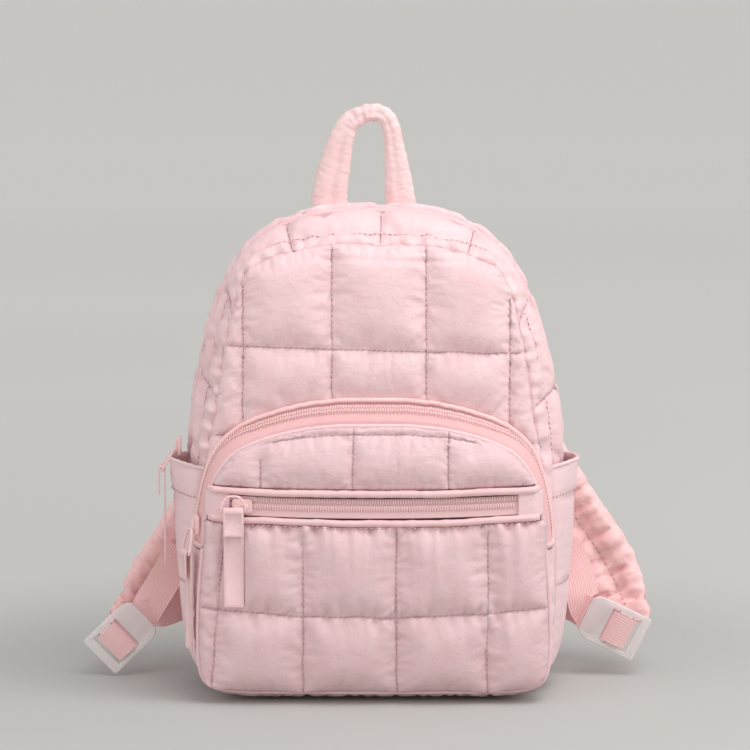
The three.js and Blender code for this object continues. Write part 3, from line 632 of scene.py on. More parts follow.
def crinkledCloth(name, light, deep, crinkle, streak=None, streakDepth=0.0):
    # thin nylon: soft blotches of tone, long creases one way if asked for, fine creases and a close weave
    material, tree, shader = startMaterial(name)
    link = tree.links.new
    place = addNode(tree, "ShaderNodeTexCoord").outputs["Object"]
    blotch = addNode(tree, "ShaderNodeTexNoise", clothLook["blotch"])
    spread = addNode(tree, "ShaderNodeMapRange", clothLook["spread"])
    link(place, blotch.inputs["Vector"])
    link(blotch.outputs["Fac"], spread.inputs["Value"])
    mixTone(tree, deep, light, spread.outputs["Result"], shader)
    normal = None
    if streak:
        stretch = addNode(tree, "ShaderNodeMapping", {"Scale": streak})
        link(place, stretch.inputs["Vector"])
        normal = addRelief(tree, stretch.outputs["Vector"], clothLook["streak"], streakDepth)
    strengths = {"crease": crinkle, "fineCrease": crinkle * 0.8, "weave": clothLook["weaveStrength"]}
    for layer, strength in strengths.items():
        normal = addRelief(tree, place, clothLook[layer], strength, normal)
    link(normal, shader.inputs["Normal"])
    setInputs(shader, clothLook["surface"])
    return material


def ribbedTape(name, light, deep, rib, bump, along="X"):
    # woven tape or webbing: fine ribs across it, read from the piece's own UV in metres, with painted shade in the
    # rib troughs
    material, tree, shader = startMaterial(name)
    link = tree.links.new
    apart = addNode(tree, "ShaderNodeSeparateXYZ")
    link(addNode(tree, "ShaderNodeUVMap").outputs["UV"], apart.inputs["Vector"])
    turns = addNode(tree, "ShaderNodeMath", {1: 2 * math.pi / rib}, operation="MULTIPLY")
    wave = addNode(tree, "ShaderNodeMath", operation="SINE")
    link(apart.outputs[along], turns.inputs[0])
    link(turns.outputs["Value"], wave.inputs[0])
    ridge = addNode(tree, "ShaderNodeMapRange", {"From Min": -1.0, "From Max": 1.0})
    link(wave.outputs["Value"], ridge.inputs["Value"])
    blotch = addNode(tree, "ShaderNodeTexNoise", {"Scale": 120, "Detail": 3})
    link(addNode(tree, "ShaderNodeTexCoord").outputs["Object"], blotch.inputs["Vector"])
    half = addNode(tree, "ShaderNodeMath", {1: 0.5}, operation="MULTIPLY")
    link(blotch.outputs["Fac"], half.inputs[0])
    blend = addNode(tree, "ShaderNodeMath", {1: 0.5}, operation="MULTIPLY_ADD")      # painted shade in the rib troughs, half and half with blotches of tone
    link(ridge.outputs["Result"], blend.inputs[0])
    link(half.outputs["Value"], blend.inputs[2])
    mixTone(tree, deep, light, blend.outputs["Value"], shader)
    relief = addNode(tree, "ShaderNodeBump", {"Strength": bump, "Distance": 0.3 * mm})
    link(ridge.outputs["Result"], relief.inputs["Height"])
    link(relief.outputs["Normal"], shader.inputs["Normal"])
    setInputs(shader, {"Roughness": 0.62, "Sheen Weight": 0.15})
    return material


def plainFinish(name, light, deep, scale, roughness, coat=0.0):
    # moulded or enamelled finish with slight drifts of tone
    material, tree, shader = startMaterial(name)
    link = tree.links.new
    grain = addNode(tree, "ShaderNodeTexNoise", {"Scale": scale, "Detail": 2})
    link(addNode(tree, "ShaderNodeTexCoord").outputs["Object"], grain.inputs["Vector"])
    mixTone(tree, deep, light, grain.outputs["Fac"], shader)
    relief = addNode(tree, "ShaderNodeBump", {"Strength": 0.12, "Distance": 0.3 * mm})
    link(grain.outputs["Fac"], relief.inputs["Height"])
    link(relief.outputs["Normal"], shader.inputs["Normal"])
    setInputs(shader, {"Roughness": roughness, "Coat Weight": coat})
    return material


bodyTones = (clothLook["light"], clothLook["deep"])
# painted shade: both pocket panels get a deeper copy of the body's nylon
pocketShadedTones = (clothLook["pocketShadedLight"], clothLook["pocketShadedDeep"])
quiltedNylon = crinkledCloth("quiltedNylon", *bodyTones, 0.22, streak=(0.4, 0.6, 1), streakDepth=0.2)
shadedAcrossNylon = crinkledCloth("shadedAcrossNylon", *pocketShadedTones, 0.2, streak=(0.2, 0.5, 1), streakDepth=0.3)
shadedGatheredNylon = crinkledCloth("shadedGatheredNylon", *pocketShadedTones, 0.18, streak=(0.8, 0.5, 0.2), streakDepth=0.2)
# deeper pink for the lips: partly their own piping colour, partly painted shade of the folds where they roll into the
# seams
lipNylon = crinkledCloth("lipNylon", (0.87, 0.595, 0.61, 1), (0.83, 0.53, 0.55, 1), 0.2)
strapNylon = crinkledCloth("strapNylon", (0.96, 0.64, 0.63, 1), (0.93, 0.57, 0.565, 1), 0.25)
plainNylon = crinkledCloth("plainNylon", clothLook["light"], (0.82, 0.60, 0.625, 1), 0.16)
handleNylon = crinkledCloth("handleNylon", (0.88, 0.66, 0.655, 1), (0.85, 0.59, 0.585, 1), 0.3)
pullCloth = crinkledCloth("pullCloth", (0.88, 0.62, 0.63, 1), (0.84, 0.54, 0.55, 1), 0.2)
zipTape = ribbedTape("zipTape", (0.86, 0.525, 0.53, 1), (0.80, 0.43, 0.44, 1), 0.7 * mm, 0.2)
paleTape = ribbedTape("paleTape", (0.87, 0.61, 0.62, 1), (0.82, 0.53, 0.54, 1), 0.7 * mm, 0.2)
ribbedWebbing = ribbedTape("ribbedWebbing", (0.95, 0.63, 0.625, 1), (0.91, 0.56, 0.56, 1), 1.6 * mm, 0.6, "Y")
zipCoil = plainFinish("zipCoil", (0.95, 0.73, 0.73, 1), (0.91, 0.64, 0.64, 1), 900, 0.35)
pullMetal = plainFinish("pullMetal", (0.94, 0.67, 0.66, 1), (0.91, 0.60, 0.60, 1), 200, 0.28, 0.5)
clearPlastic = plainFinish("clearPlastic", (1.0, 0.95, 0.945, 1), (0.98, 0.91, 0.905, 1), 150, 0.18, 0.3)
setInputs(clearPlastic.node_tree.nodes["Principled BSDF"], {"Transmission Weight": 0.4, "IOR": 1.38})
threadLook = plainFinish("mauveThread", (0.66, 0.42, 0.44, 1), (0.55, 0.32, 0.35, 1), 700, 0.7)
print("finishes mixed")

# skin of the arched zip band round the pocket; the front panel is sewn down along its outer edge
zipBand = {
    "centre": (0, 60 * mm), "firstAngle": 108.6, "yRange": (-59.8 * mm, -43.4 * mm),
    "rows": 14, "columns": 190, "wall": 1.2 * mm,
    "swell": 0.9 * mm, "sideSwell": 0.9 * mm,            # fuller down both legs
    "edgeTuck": 2.2 * mm, "edgeShare": 0.12,             # goes in beside the pocket panel
    "coilAt": 0.66, "coilAtSides": 0.9,                  # share of the band's width, from the pocket edge
    "sideFrom": 66 * mm, "sideTo": 94 * mm,
    "cordLine": 3.1 * mm,
    "hem": (3.2 * mm, 2.6 * mm), "hemLift": 0.5 * mm,
    "pipingWidth": 3.0 * mm, "pipingLift": 0.6 * mm, "pipingFront": 0.8 * mm,
}
bandSkin = bandNet("pocket_zip_band", zipBand["centre"], zipBand["firstAngle"], 360 - 2 * zipBand["firstAngle"],
                   zipBand["yRange"], zipBand["columns"], zipBand["rows"])

# front panel: quilted above the pocket, flat behind it
frontPanel = {
    "seamY": -38.4 * mm, "seamTuck": 1.8 * mm,           # where the cloth goes into the seam
    "centre": (0, 130 * mm), "rimY": -41 * mm, "fallbackY": -43 * mm,
    "lowCorner": (70 * mm, 3 * mm), "highCorner": (78 * mm, 258 * mm),
    "columns": 132, "rows": 150, "bunch": 1.35,          # closer rows in the upper half
    "inset": 0.997, "snap": 1.2 * mm, "wall": 1.2 * mm,
    "sink": 1.5 * mm,                                    # how deep the sewn lines pull in
    "upright": [-78 * mm, -25 * mm, 31 * mm, 81 * mm], "uprightReach": (150 * mm, 275 * mm),
    "level": [211 * mm, 157 * mm], "levelHalf": 108 * mm, "tilt": -2.8 * mm,
    "fold": (264.5 * mm, -34 * mm, 66 * mm, 0.8 * mm),   # faint crease near the top
    "foldFade": 10 * mm, "foldWidth": 1.7 * mm,
    "pressure": 1.5, "spare": 0.038,
    "pucker": (0.75 * mm, 5 * mm, 4.2 * mm, 1.3),
    "pocketMargin": 2.5 * mm,                            # sewn flat just above the pocket
}


def buildFrontPanel():
    facts = frontPanel
    rim = rimOf("front_panel", facts["rimY"], facts["centre"])
    upBunch = lambda t: 1 - (1 - t) ** facts["bunch"]
    rows, cols = facts["rows"], facts["columns"]
    flat = patchGrid(*rimEdges(rim, facts["lowCorner"], facts["highCorner"], rows, cols, upBunch)).reshape(-1, 2)
    edge = borderOf(rows, cols).ravel()
    arch = bandSkin[-1][np.argsort(bandSkin[-1][:, 0])]
    behind = flat[:, 1] < np.interp(flat[:, 0], arch[:, 0], arch[:, 2]) + facts["pocketMargin"]
    lines = [uprightLine(x, *facts["uprightReach"]) for x in facts["upright"]]
    lines += [levelLine(z, facts["levelHalf"], 0, facts["tilt"]) for z in facts["level"]]
    runs = [[k for k in snapLine(line, flat, facts["snap"]) if not edge[k]] for line in lines]
    sewn = {k for run in runs for k in run}
    points = np.zeros((rows * cols, 3))
    inset, middleZ = facts["inset"], facts["centre"][1]
    for k, (x, z) in enumerate(flat):
        hit = castOnto("front_panel", (x * inset, -1, middleZ + (z - middleZ) * inset), (0, 1, 0))
        points[k] = (x, hit.y if hit else facts["fallbackY"], z)
    points[sorted(sewn), 1] += facts["sink"]
    points[edge, 1] = facts["seamY"]
    outward = unit(points - (0, 0, middleZ)) * (1, 0, 1)
    points[edge] += (outward * facts["seamTuck"])[edge]  # goes in under the gusset
    pins = set()
    for line, run in zip(lines, runs):
        shown = inOrder([k for k in run if not behind[k]], line, points)
        pins.update(sewPins("quilt", points, shown, (0, -1, 0)))
    piece, order = addNet("frontPanel", points.reshape(rows, cols, 3))
    held = order.ravel()[edge | behind | np.isin(np.arange(rows * cols), sorted(pins))]
    puffCloth(piece, held, facts["pressure"], facts["spare"])
    seams = [points[inOrder(run, line, points)] for line, run in zip(lines, runs)]
    puckerAlong(piece, seams + [points.reshape(rows, cols, 3)[-1]], *facts["pucker"])
    z, lowX, highX, depth = facts["fold"]
    line, skin = levelLine(z, highX, 0, 0.4 * facts["tilt"], lowX), shapeOf(piece)
    fade = np.clip((skin[:, 0] - lowX) / facts["foldFade"], 0, 1)
    fade *= np.clip((highX - skin[:, 0]) / facts["foldFade"], 0, 1)
    off = skin[:, 2] - np.interp(skin[:, 0], line[:, 0], line[:, 1])
    skin[:, 1] += depth * fade * np.exp(-(off / facts["foldWidth"]) ** 2)
    setShape(piece, skin)
    thicken(piece, facts["wall"])
    finishPiece(piece, quiltedNylon, "quilted_nylon", "front_panel")


buildFrontPanel()
print("front panel sewn")

# gussets: padded strips over the top and down the sides, in front of and behind the main zip
gussets = {
    "centreZ": 120 * mm,
    "firstAngle": 31.0,                  # from straight down, where the base ends
    "columns": 361, "wall": 1.2 * mm,
    "tuck": 4 * mm,                      # cloth turned into the seams
    "sink": 1.6 * mm, "rollOut": 3.0 * mm, "rollRows": 7,
    "crossMiddle": 4 * mm, "crossSpacing": 55 * mm,
    "topstitchRow": 8, "topstitchX": [40 * mm, 88 * mm], "topstitchFrom": [7.5 * mm, 12 * mm],
    "topstitchSink": 0.5 * mm, "threadLift": 0.2 * mm,
    "rearThreadFrom": 12 * mm,           # the cross lines show behind the zip's lip
    "fullAt": (165 * mm, 45 * mm), "fullBy": (1, 5),     # fuller low on the right
    "calmBelow": 137 * mm,               # flat behind the side pockets
    "pressure": 1.8, "spare": 0.06,
    "pucker": (0.6 * mm, 5 * mm, 4.4 * mm), "pleats": (2.9 * mm, 7.5 * mm, 5.6 * mm),
}


def gussetNet(node, frontY, rearY, rows):
    # rows from front to rear, columns from the left foot over the top to the right foot
    low = math.radians(gussets["firstAngle"])
    centre = (0, gussets["centreZ"])
    middle = rimOf(node, (frontY(0.2) + rearY(0.2)) / 2, centre, 500, low, 2 * math.pi - 2 * low)[::-1]
    spine = evenRun(middle, gussets["columns"])
    net = np.zeros((rows, len(spine), 3))
    for j, (x, z) in enumerate(spine):
        way = Vector((x, 0, z - centre[1])).normalized()
        front, rear = frontY(z), rearY(z)
        shares = np.linspace(0, 1, rows)
        if node == "front_gusset":       # the topstitch runs nearer the seam over the top
            at = np.interp(abs(x), gussets["topstitchX"], gussets["topstitchFrom"])
            shares = np.interp(range(rows), [0, gussets["topstitchRow"] - 1, rows - 1], [0, at / (rear - front), 1])
        for i, share in enumerate(shares):
            y = min(max(front + (rear - front) * share, front + 0.2 * mm), rear - 0.2 * mm)
            hit = castOnto(node, Vector((0, y, centre[1])) + way * clothSteps["castFrom"], -way)
            net[i, j] = hit if hit else net[i, j - 1]
    return net


def netOutward(net):
    # outward way of an arch at each column, level in Y
    along = np.gradient(net[len(net) // 2], axis=0)
    return unit(np.stack([-along[:, 2], np.zeros(len(along)), along[:, 0]], 1))


def buildGusset(name, node, frontY, rearY, rows, stitchRows, lift, cap, seed):
    facts = gussets
    net = gussetNet(node, frontY, rearY, rows)
    out = netOutward(net)
    net = net + out[None] * np.linspace(*lift, rows)[:, None, None]
    tucked = [net[0] - out * facts["tuck"], net[-1] - out * facts["tuck"]]
    fullZ, fullReach = facts["fullAt"]
    full = np.exp(-((net[:, :, 2] - fullZ) / fullReach) ** 2) * (net[:, :, 0] > 0)
    net = net + out[None] * (full * np.linspace(*facts["fullBy"], rows)[:, None] * mm)[:, :, None]
    if node == "front_gusset":           # rolls out over the edge of the front panel
        for i in range(facts["rollRows"]):
            net[i, :, 1] -= facts["rollOut"] * math.cos(i / facts["rollRows"] * math.pi / 2)
    net = np.concatenate([tucked[:1], net, tucked[1:]])
    rows, cols = net.shape[:2]
    spine = net[rows // 2]
    steps = np.r_[0, np.cumsum(np.linalg.norm(np.diff(spine, axis=0), axis=1))]
    top = steps[np.argmin(np.abs(spine[:, 0] - facts["crossMiddle"]) - spine[:, 2])]
    sewn, threads = np.zeros((rows, cols), bool), []
    for k in range(-8, 9):
        j = int(np.argmin(np.abs(steps - top - k * facts["crossSpacing"])))
        if net[rows // 2, j, 2] > facts["calmBelow"]:
            sewn[2:rows - 2, j] = True
            net[2:rows - 2, j] -= out[j] * facts["sink"]
            shown = net[2:rows - 2, j]
            shown = shown[shown[:, 1] > facts["rearThreadFrom"]] if node == "rear_gusset" else shown
            threads.append(("quilt", shown, np.tile(out[j], (len(shown), 1))))
    high = net[rows // 2][:, 2] > facts["calmBelow"]
    for i in stitchRows:
        net[i] -= out * facts["topstitchSink"]
        sewn[i] = True
        threads.append(("seam", net[i][high], out[high]))
    piece, order = addNet(name, net)
    held = sewn | borderOf(rows, cols)
    held[:, ~high] = True
    puffCloth(piece, order[held], facts["pressure"], facts["spare"], cap=cap, seed=seed)
    puckerAlong(piece, [net[i][high] for i in stitchRows], *facts["pucker"], seed)
    if node == "front_gusset":           # pleats between the seam and its topstitch
        puckerAlong(piece, [net[1][high]], *facts["pleats"], seed + 4)
    thicken(piece, facts["wall"])
    for kind, points, ways in threads:
        sew(kind, layOn(piece, points, ways, facts["threadLift"]), ways)
    finishPiece(piece, quiltedNylon, "quilted_nylon", node)


zipEdge = lambda edge, closed: lambda z: np.interp(z, [118 * mm, 126 * mm], [closed, edge])      # meets below the zip
buildGusset("frontGusset", "front_gusset", lambda z: -38 * mm, zipEdge(-8 * mm, -3.2 * mm),
            22, [gussets["topstitchRow"]], (0, -5.0 * mm), 3.2 * mm, 2)
buildGusset("rearGusset", "rear_gusset", zipEdge(2 * mm, -2.8 * mm), lambda z: 38 * mm,
            24, [21], (-2.0 * mm, -1 * mm), 2.2 * mm, 3)
print("gussets sewn")

# front pocket: two quilted panels with the welt zip between them
pocket = {
    "seamY": -60.5 * mm, "rimY": -62 * mm, "fallbackY": -64 * mm,
    "columns": 136, "wall": 1.2 * mm,
    "inset": 0.995, "margin": 0.4 * mm, "snap": 1.2 * mm,
    "sink": 1.3 * mm, "topstitchSink": 1.2 * mm,
    "pucker": (0.65 * mm, 5.5 * mm, 4.2 * mm), "gatherWave": 5.4 * mm,
    "weltTuck": 1.8 * mm,                # cloth turned in behind the lips of the welt
    "weltRise": (1.2 * mm, 2.2 * mm),    # the welt sags in the middle and climbs to its ends
    "pullShift": (2.0 * mm, 0, 2.5 * mm),
    "upper": {"straight": "bottom", "cloth": shadedAcrossNylon, "rows": 34,
              "lowCorner": (96 * mm, 132.4 * mm), "highCorner": (72 * mm, 155 * mm), "easeReach": 9 * mm,
              "topstitchRow": 6, "topstitchHalf": 60 * mm, "topstitchSkip": 10,
              "gather": (0.9 * mm, 5 * mm), "pressure": 1.6, "spare": 0.04,
              "upright": [-67 * mm, -12.5 * mm, 44 * mm], "uprightReach": (130 * mm, 168 * mm)},
    "lower": {"straight": "top", "cloth": shadedGatheredNylon, "rows": 70,
              "lowCorner": (98 * mm, 11.4 * mm), "highCorner": (104 * mm, 107 * mm), "climb": 4.6 * mm,
              "gather": (3.0 * mm, 14 * mm), "pressure": 1.3, "spare": 0.03,
              "upright": [-42 * mm, 13.5 * mm, 67.5 * mm], "uprightReach": (7.5 * mm, 106 * mm),
              "leaning": (-97 * mm, 12 * mm, 106 * mm, 0.09), "level": (59 * mm, 104 * mm, 5 * mm),
              "levelGather": (1.7 * mm, 9 * mm, 5.6 * mm)},
}


def buildPocketPanel(name, node, facts, lines, seed):
    rim = rimOf(node, pocket["rimY"], (0, np.mean([corner[2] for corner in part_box(node)])), 1440)
    rows, cols = facts["rows"], pocket["columns"]
    upper = facts["straight"] == "bottom"
    bottom, top, left, right = rimEdges(rim, facts["lowCorner"], facts["highCorner"], rows, cols)
    if not upper:                        # stretched up to the lip
        climb = facts["climb"] * np.linspace(0, 1, rows) ** 3
        left, right = left + np.stack([0 * climb, climb], 1), right + np.stack([0 * climb, climb], 1)
    weltRow = 0 if upper else -1         # the edge along the welt zip
    welt = evenRun([left[weltRow], right[weltRow]], cols)
    welt[:, 1] -= pocket["weltRise"][1] * (1 - (welt[:, 0] / welt[-1, 0]) ** 2)
    bottom, top = (welt, top) if upper else (bottom, welt)
    flat = patchGrid(bottom, top, left, right).reshape(-1, 2)
    middle = flat.mean(0)
    low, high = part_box(node)
    edge = borderOf(rows, cols).ravel()
    runs = [[k for k in snapLine(line, flat, pocket["snap"]) if not edge[k]] for line in lines]
    sewn = sorted({k for run in runs for k in run})
    points = np.zeros((rows * cols, 3))
    for k, (x, z) in enumerate(flat):
        px, pz = middle + (np.array((x, z)) - middle) * pocket["inset"]
        pz = min(max(pz, low[2] + pocket["margin"]), high[2] - pocket["margin"])
        hit = castOnto(node, (px, -1, pz), (0, 1, 0))
        points[k] = (x, hit.y if hit else pocket["fallbackY"], z)
    points[sewn, 1] += pocket["sink"]
    weltEdge = np.zeros((rows, cols), bool)
    weltEdge[weltRow, 2:-2] = True
    points[edge & ~weltEdge.ravel(), 1] = pocket["seamY"]
    points[weltEdge.ravel(), 1] += pocket["weltTuck"]
    pins = set()
    for line, run in zip(lines, runs):
        pins.update(sewPins("quilt", points, inOrder(run, line, points), (0, -1, 0)))
    if upper:                            # gathered topstitch under the arch
        first, skip = (rows - facts["topstitchRow"]) * cols, facts["topstitchSkip"]
        row = [k for k in range(first + skip, first + cols - skip) if abs(points[k, 0]) < facts["topstitchHalf"]]
        points[row, 1] += pocket["topstitchSink"]
        pins.update(sewPins("quilt", points, row, (0, -1, 0)))
    net = points.reshape(rows, cols, 3)
    piece, order = addNet(name, net)
    held = edge.copy()
    held[sorted(pins)] = True
    puffCloth(piece, order.ravel()[held], facts["pressure"], facts["spare"], seed=seed)
    seams = [points[inOrder(run, line, points)] for line, run in zip(lines, runs)]
    puckerAlong(piece, seams, *pocket["pucker"], seed)
    gathered = net[rows - facts["topstitchRow"] if upper else -1]
    puckerAlong(piece, [gathered], *facts["gather"], pocket["gatherWave"], seed + 9)
    if upper:
        cornerX, cornerZ = facts["highCorner"]
        for side in (-1, 1):
            easeNear(piece, order, (side * cornerX, cornerZ), facts["easeReach"])
    else:                                # the level line gathers more than the upright ones
        puckerAlong(piece, seams[-1:], *facts["levelGather"], seed + 17)
        pressUnder(piece, "welt_tab", pocket["pullShift"])
    thicken(piece, pocket["wall"])
    finishPiece(piece, facts["cloth"], "quilted_nylon", node)


panelLines = {part: [uprightLine(x, *pocket[part]["uprightReach"]) for x in pocket[part]["upright"]]
              for part in ("upper", "lower")}
panelLines["lower"] += [uprightLine(*pocket["lower"]["leaning"]), levelLine(*pocket["lower"]["level"])]
buildPocketPanel("pocketUpper", "pocket_upper", pocket["upper"], panelLines["upper"], 4)
buildPocketPanel("pocketLower", "pocket_lower", pocket["lower"], panelLines["lower"], 5)

# turned cloth that fills the joint between the pocket and its zip band
pocketSeam = {"back": 1.4 * mm, "under": 0.6 * mm, "size": (3.6 * mm, 3.2 * mm), "rings": 150}
middleOfArch = np.array((zipBand["centre"][0], 0, zipBand["centre"][1]))
joint = evenRun(bandSkin[0], pocketSeam["rings"])
outward = unit((joint - middleOfArch) * (1, 0, 1))
joint = joint + np.array((0, pocketSeam["back"], 0)) - outward * pocketSeam["under"]
pocketRoll = addTube("pocketSeamRoll", ovalRings(joint, outward, (0, -1, 0), *pocketSeam["size"], 8))
finishPiece(pocketRoll, plainNylon, "plain_nylon")
print("pocket panels sewn")

# zips: the arched band round the pocket, the welt zip in it, and the main zip between the gussets
zips = {
    "coilHalf": 1.25 * mm, "coilLift": 0.35 * mm, "toothPitch": 1.5 * mm,
    "toothSize": (2.5 * mm, 0.95 * mm, 1.3 * mm),
    "weltCoils": 120 * mm, "weltCoilGap": 2.3 * mm, "weltToothSize": (3.0 * mm, 1.0 * mm, 1.6 * mm),
    "weltTeethX": (-70 * mm, 84.4 * mm), "weltToothLift": 1.15 * mm, "weltToothShift": 0.4 * mm,
    "weltTapeX": (-86.6 * mm, 86.6 * mm), "weltTapeZ": (112.2 * mm, 123.8 * mm), "weltTapeLift": 0.7 * mm,
    "parting": (1.1 * mm, 0.5 * mm),     # depth and width of the line between the two coils
    "weltHalf": 96 * mm, "lipHalf": 98.5 * mm, "lipFlat": 95 * mm,
    "lips": [("weltLipUpper", "welt_lip_upper", 126.8 * mm, 4.4 * mm, 3.1),
             ("weltLipLower", "welt_lip_lower", 109.6 * mm, 4.2 * mm, 7.7)],     # name, node, Z, thickness, seed
    "lipThread": (0, -1.7 * mm, -2.6 * mm),
    "weltEndX": (85.4 * mm, 100.5 * mm), "weltEndZ": (110.6 * mm, 125.4 * mm), "weltEndTuck": 95.5 * mm,
    "mainY": (-8.4 * mm, 2.4 * mm), "mainCastY": (-7.4 * mm, 1.4 * mm),
    "mainCentre": (0, 120 * mm), "mainColumns": 300, "mainPitch": 1.6 * mm,
    "mainDrop": 7.5 * mm,                # sits below the padded gussets
    "mainLips": [("mainLipFront", -6.0 * mm, -0.6 * mm, 4.4 * mm, 2.2),
                 ("mainLipRear", 0.2 * mm, 1.8 * mm, 4.8 * mm, 6.6)],            # name, Y, lift, thickness, seed
}


def netNormals(net):
    return unit(np.cross(np.gradient(net, axis=1), np.gradient(net, axis=0)))


def coilPlaces(path, across, out, half, pitch):
    # two interlocked rows of teeth along a path
    path = np.asarray(path)
    count = int(runLength(path) / pitch)
    spine = evenRun(path, count)
    across, out = (evenRun(way, count) if np.ndim(way) == 2 else np.tile(way, (count, 1)) for way in (across, out))
    places = []
    for k in range(count):
        along = unit(spine[min(k + 1, count - 1)] - spine[max(k - 1, 0)])
        for side, shift in ((-1, 0), (1, 0.5 * pitch)):
            middle = spine[k] + across[k] * side * half + along * shift + out[k] * zips["coilLift"]
            places.append((middle, across[k] + along * 0.12 * side, out[k]))
    return places


def buildZipBand():
    net, facts = bandSkin, zipBand
    out = netNormals(net)
    share = np.linspace(0, 1, len(net))
    atSide = np.interp(np.abs(net[0][:, 0]), [facts["sideFrom"], facts["sideTo"]], [0, 1])
    swell = np.sin(share * math.pi)[:, None] * (facts["swell"] + facts["sideSwell"] * atSide)[None]
    swell -= facts["edgeTuck"] * np.clip(1 - share / facts["edgeShare"], 0, 1)[:, None]
    net = net + out * swell[:, :, None]
    band, order = addNet("pocketZipBand", net)
    thicken(band, facts["wall"])
    finishPiece(band, zipTape, "zip_tape", "pocket_zip_band")
    row = (facts["coilAt"] + (facts["coilAtSides"] - facts["coilAt"]) * atSide) * (len(net) - 1)
    low, each = row.astype(int), np.arange(net.shape[1])             # the coil turns to the side down both legs
    mix = (row - low)[:, None]
    spine = net[low, each] * (1 - mix) + net[low + 1, each] * mix
    across, face = unit(net[low + 1, each] - net[low, each]), out[low, each]
    places = coilPlaces(spine, across, face, zips["coilHalf"], zips["toothPitch"])
    finishPiece(scatterPills("pocketZipTeeth", places, zips["toothSize"]), zipCoil, "zip_tape")
    for shift in (-1, 1):                # cord lines beside the coil
        cord = spine + across * shift * facts["cordLine"] + face * 0.1 * mm
        sew("tape", cord[4:-4], face[4:-4])
    for end in (0, -1):                  # rolled hem across each end
        edge = evenRun(net[1:, end] + out[1:, end] * facts["hemLift"], 24)
        name = "bandEndLeft" if edge[0, 0] < 0 else "bandEndRight"
        hem = addTube(name, ovalRings(edge, (0, 0, 1), unit(out[6, end]), *facts["hem"], 10))
        finishPiece(hem, lipNylon, "plain_nylon")
    edge = evenRun(net[-1] + out[-1] * facts["pipingLift"] - np.array((0, facts["pipingFront"], 0)), 220)
    outward = unit((edge - (0, 0, facts["centre"][1])) * (1, 0, 1))
    rings = ovalRings(edge, outward, (0, -1, 0), facts["pipingWidth"], facts["pipingWidth"], 10)
    finishPiece(addTube("pocketPiping", rings), strapNylon, "strap_nylon")


def weltRise(x):
    low, climb = pocket["weltRise"]
    return low + climb * (np.asarray(x) / zips["weltHalf"]) ** 2


def flatStrip(node, xRange, zRange, cols, rows, lift=0.0):
    # a strip in the pocket's face, laid on its CAD node
    net = np.zeros((rows, cols, 3))
    low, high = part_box(node)
    inside = lambda v, axis: min(max(v, low[axis] + 0.3 * mm), high[axis] - 0.3 * mm)
    for i, z in enumerate(np.linspace(*zRange, rows)):
        for j, x in enumerate(np.linspace(*xRange, cols)):
            face = castOnto(node, (inside(x, 0), -1, inside(z, 2)), (0, 1, 0)).y
            net[i, j] = (x, face - lift, z + weltRise(x))
    return net


def buildWeltTape():
    tape = flatStrip("welt_tape", zips["weltTapeX"], zips["weltTapeZ"], 120, 25, zips["weltTapeLift"])
    depth, width = zips["parting"]
    apart = (np.linspace(*zips["weltTapeZ"], 25) - zips["weltCoils"]) / width
    tape[:, :, 1] += (depth * np.exp(-apart ** 2))[:, None]
    piece, order = addNet("weltTape", tape)
    thicken(piece, 1.0 * mm)
    finishPiece(piece, paleTape, "zip_tape", "welt_tape")
    places = []
    for side in (-1, 1):
        z = zips["weltCoils"] + side * zips["weltCoilGap"]
        for x in np.arange(*zips["weltTeethX"], zips["toothPitch"]):
            y = castOnto("welt_tape", (x, -1, z), (0, 1, 0)).y - zips["weltToothLift"]
            middle = (x + zips["weltToothShift"] * side, y, z + weltRise(x))
            places.append((middle, (0.1 * side, 0, 1), (0, -1, 0)))
    finishPiece(scatterPills("weltTeeth", places, zips["weltToothSize"]), zipCoil, "zip_tape")


def buildWeltLip(name, node, z, height, seed):
    x = np.linspace(-zips["lipHalf"], zips["lipHalf"], 260)
    inside = np.clip(x, -zips["lipFlat"], zips["lipFlat"])
    path = np.array([(v, castOnto(node, (near, -1, z), (0, 1, 0)).y + 1.2 * mm + 1.2 * abs(v - near), z)
                     for v, near in zip(x, inside)])     # the ends go in under the zip band
    wave = np.array([noise.noise((v / mm / 5, seed, 0)) for v in x])
    slow = np.array([noise.noise((v / mm / 26, seed, 4)) for v in x])
    path[:, 2] += weltRise(x) + slow * 0.9 * mm
    swell = height * (1 + 0.14 * wave)
    roll = addTube(name, ovalRings(path, (0, 0, 1), (0, -1, 0), swell, swell * 1.05, 14))
    finishPiece(roll, lipNylon, "plain_nylon", node)
    if z < zips["weltCoils"]:
        sew("seam", path[8:-8] + zips["lipThread"], (0, -1, 0))


def buildWeltEnd(side, name, node):
    net = flatStrip(node, sorted(side * x for x in zips["weltEndX"]), zips["weltEndZ"], 18, 16)
    net[:, :, 1] += 0.9 * np.maximum(np.abs(net[:, :, 0]) - zips["weltEndTuck"], 0) - 0.5 * mm
    end, order = addNet(name, net)
    thicken(end, 1.2 * mm)
    finishPiece(end, quiltedNylon, "plain_nylon", node)


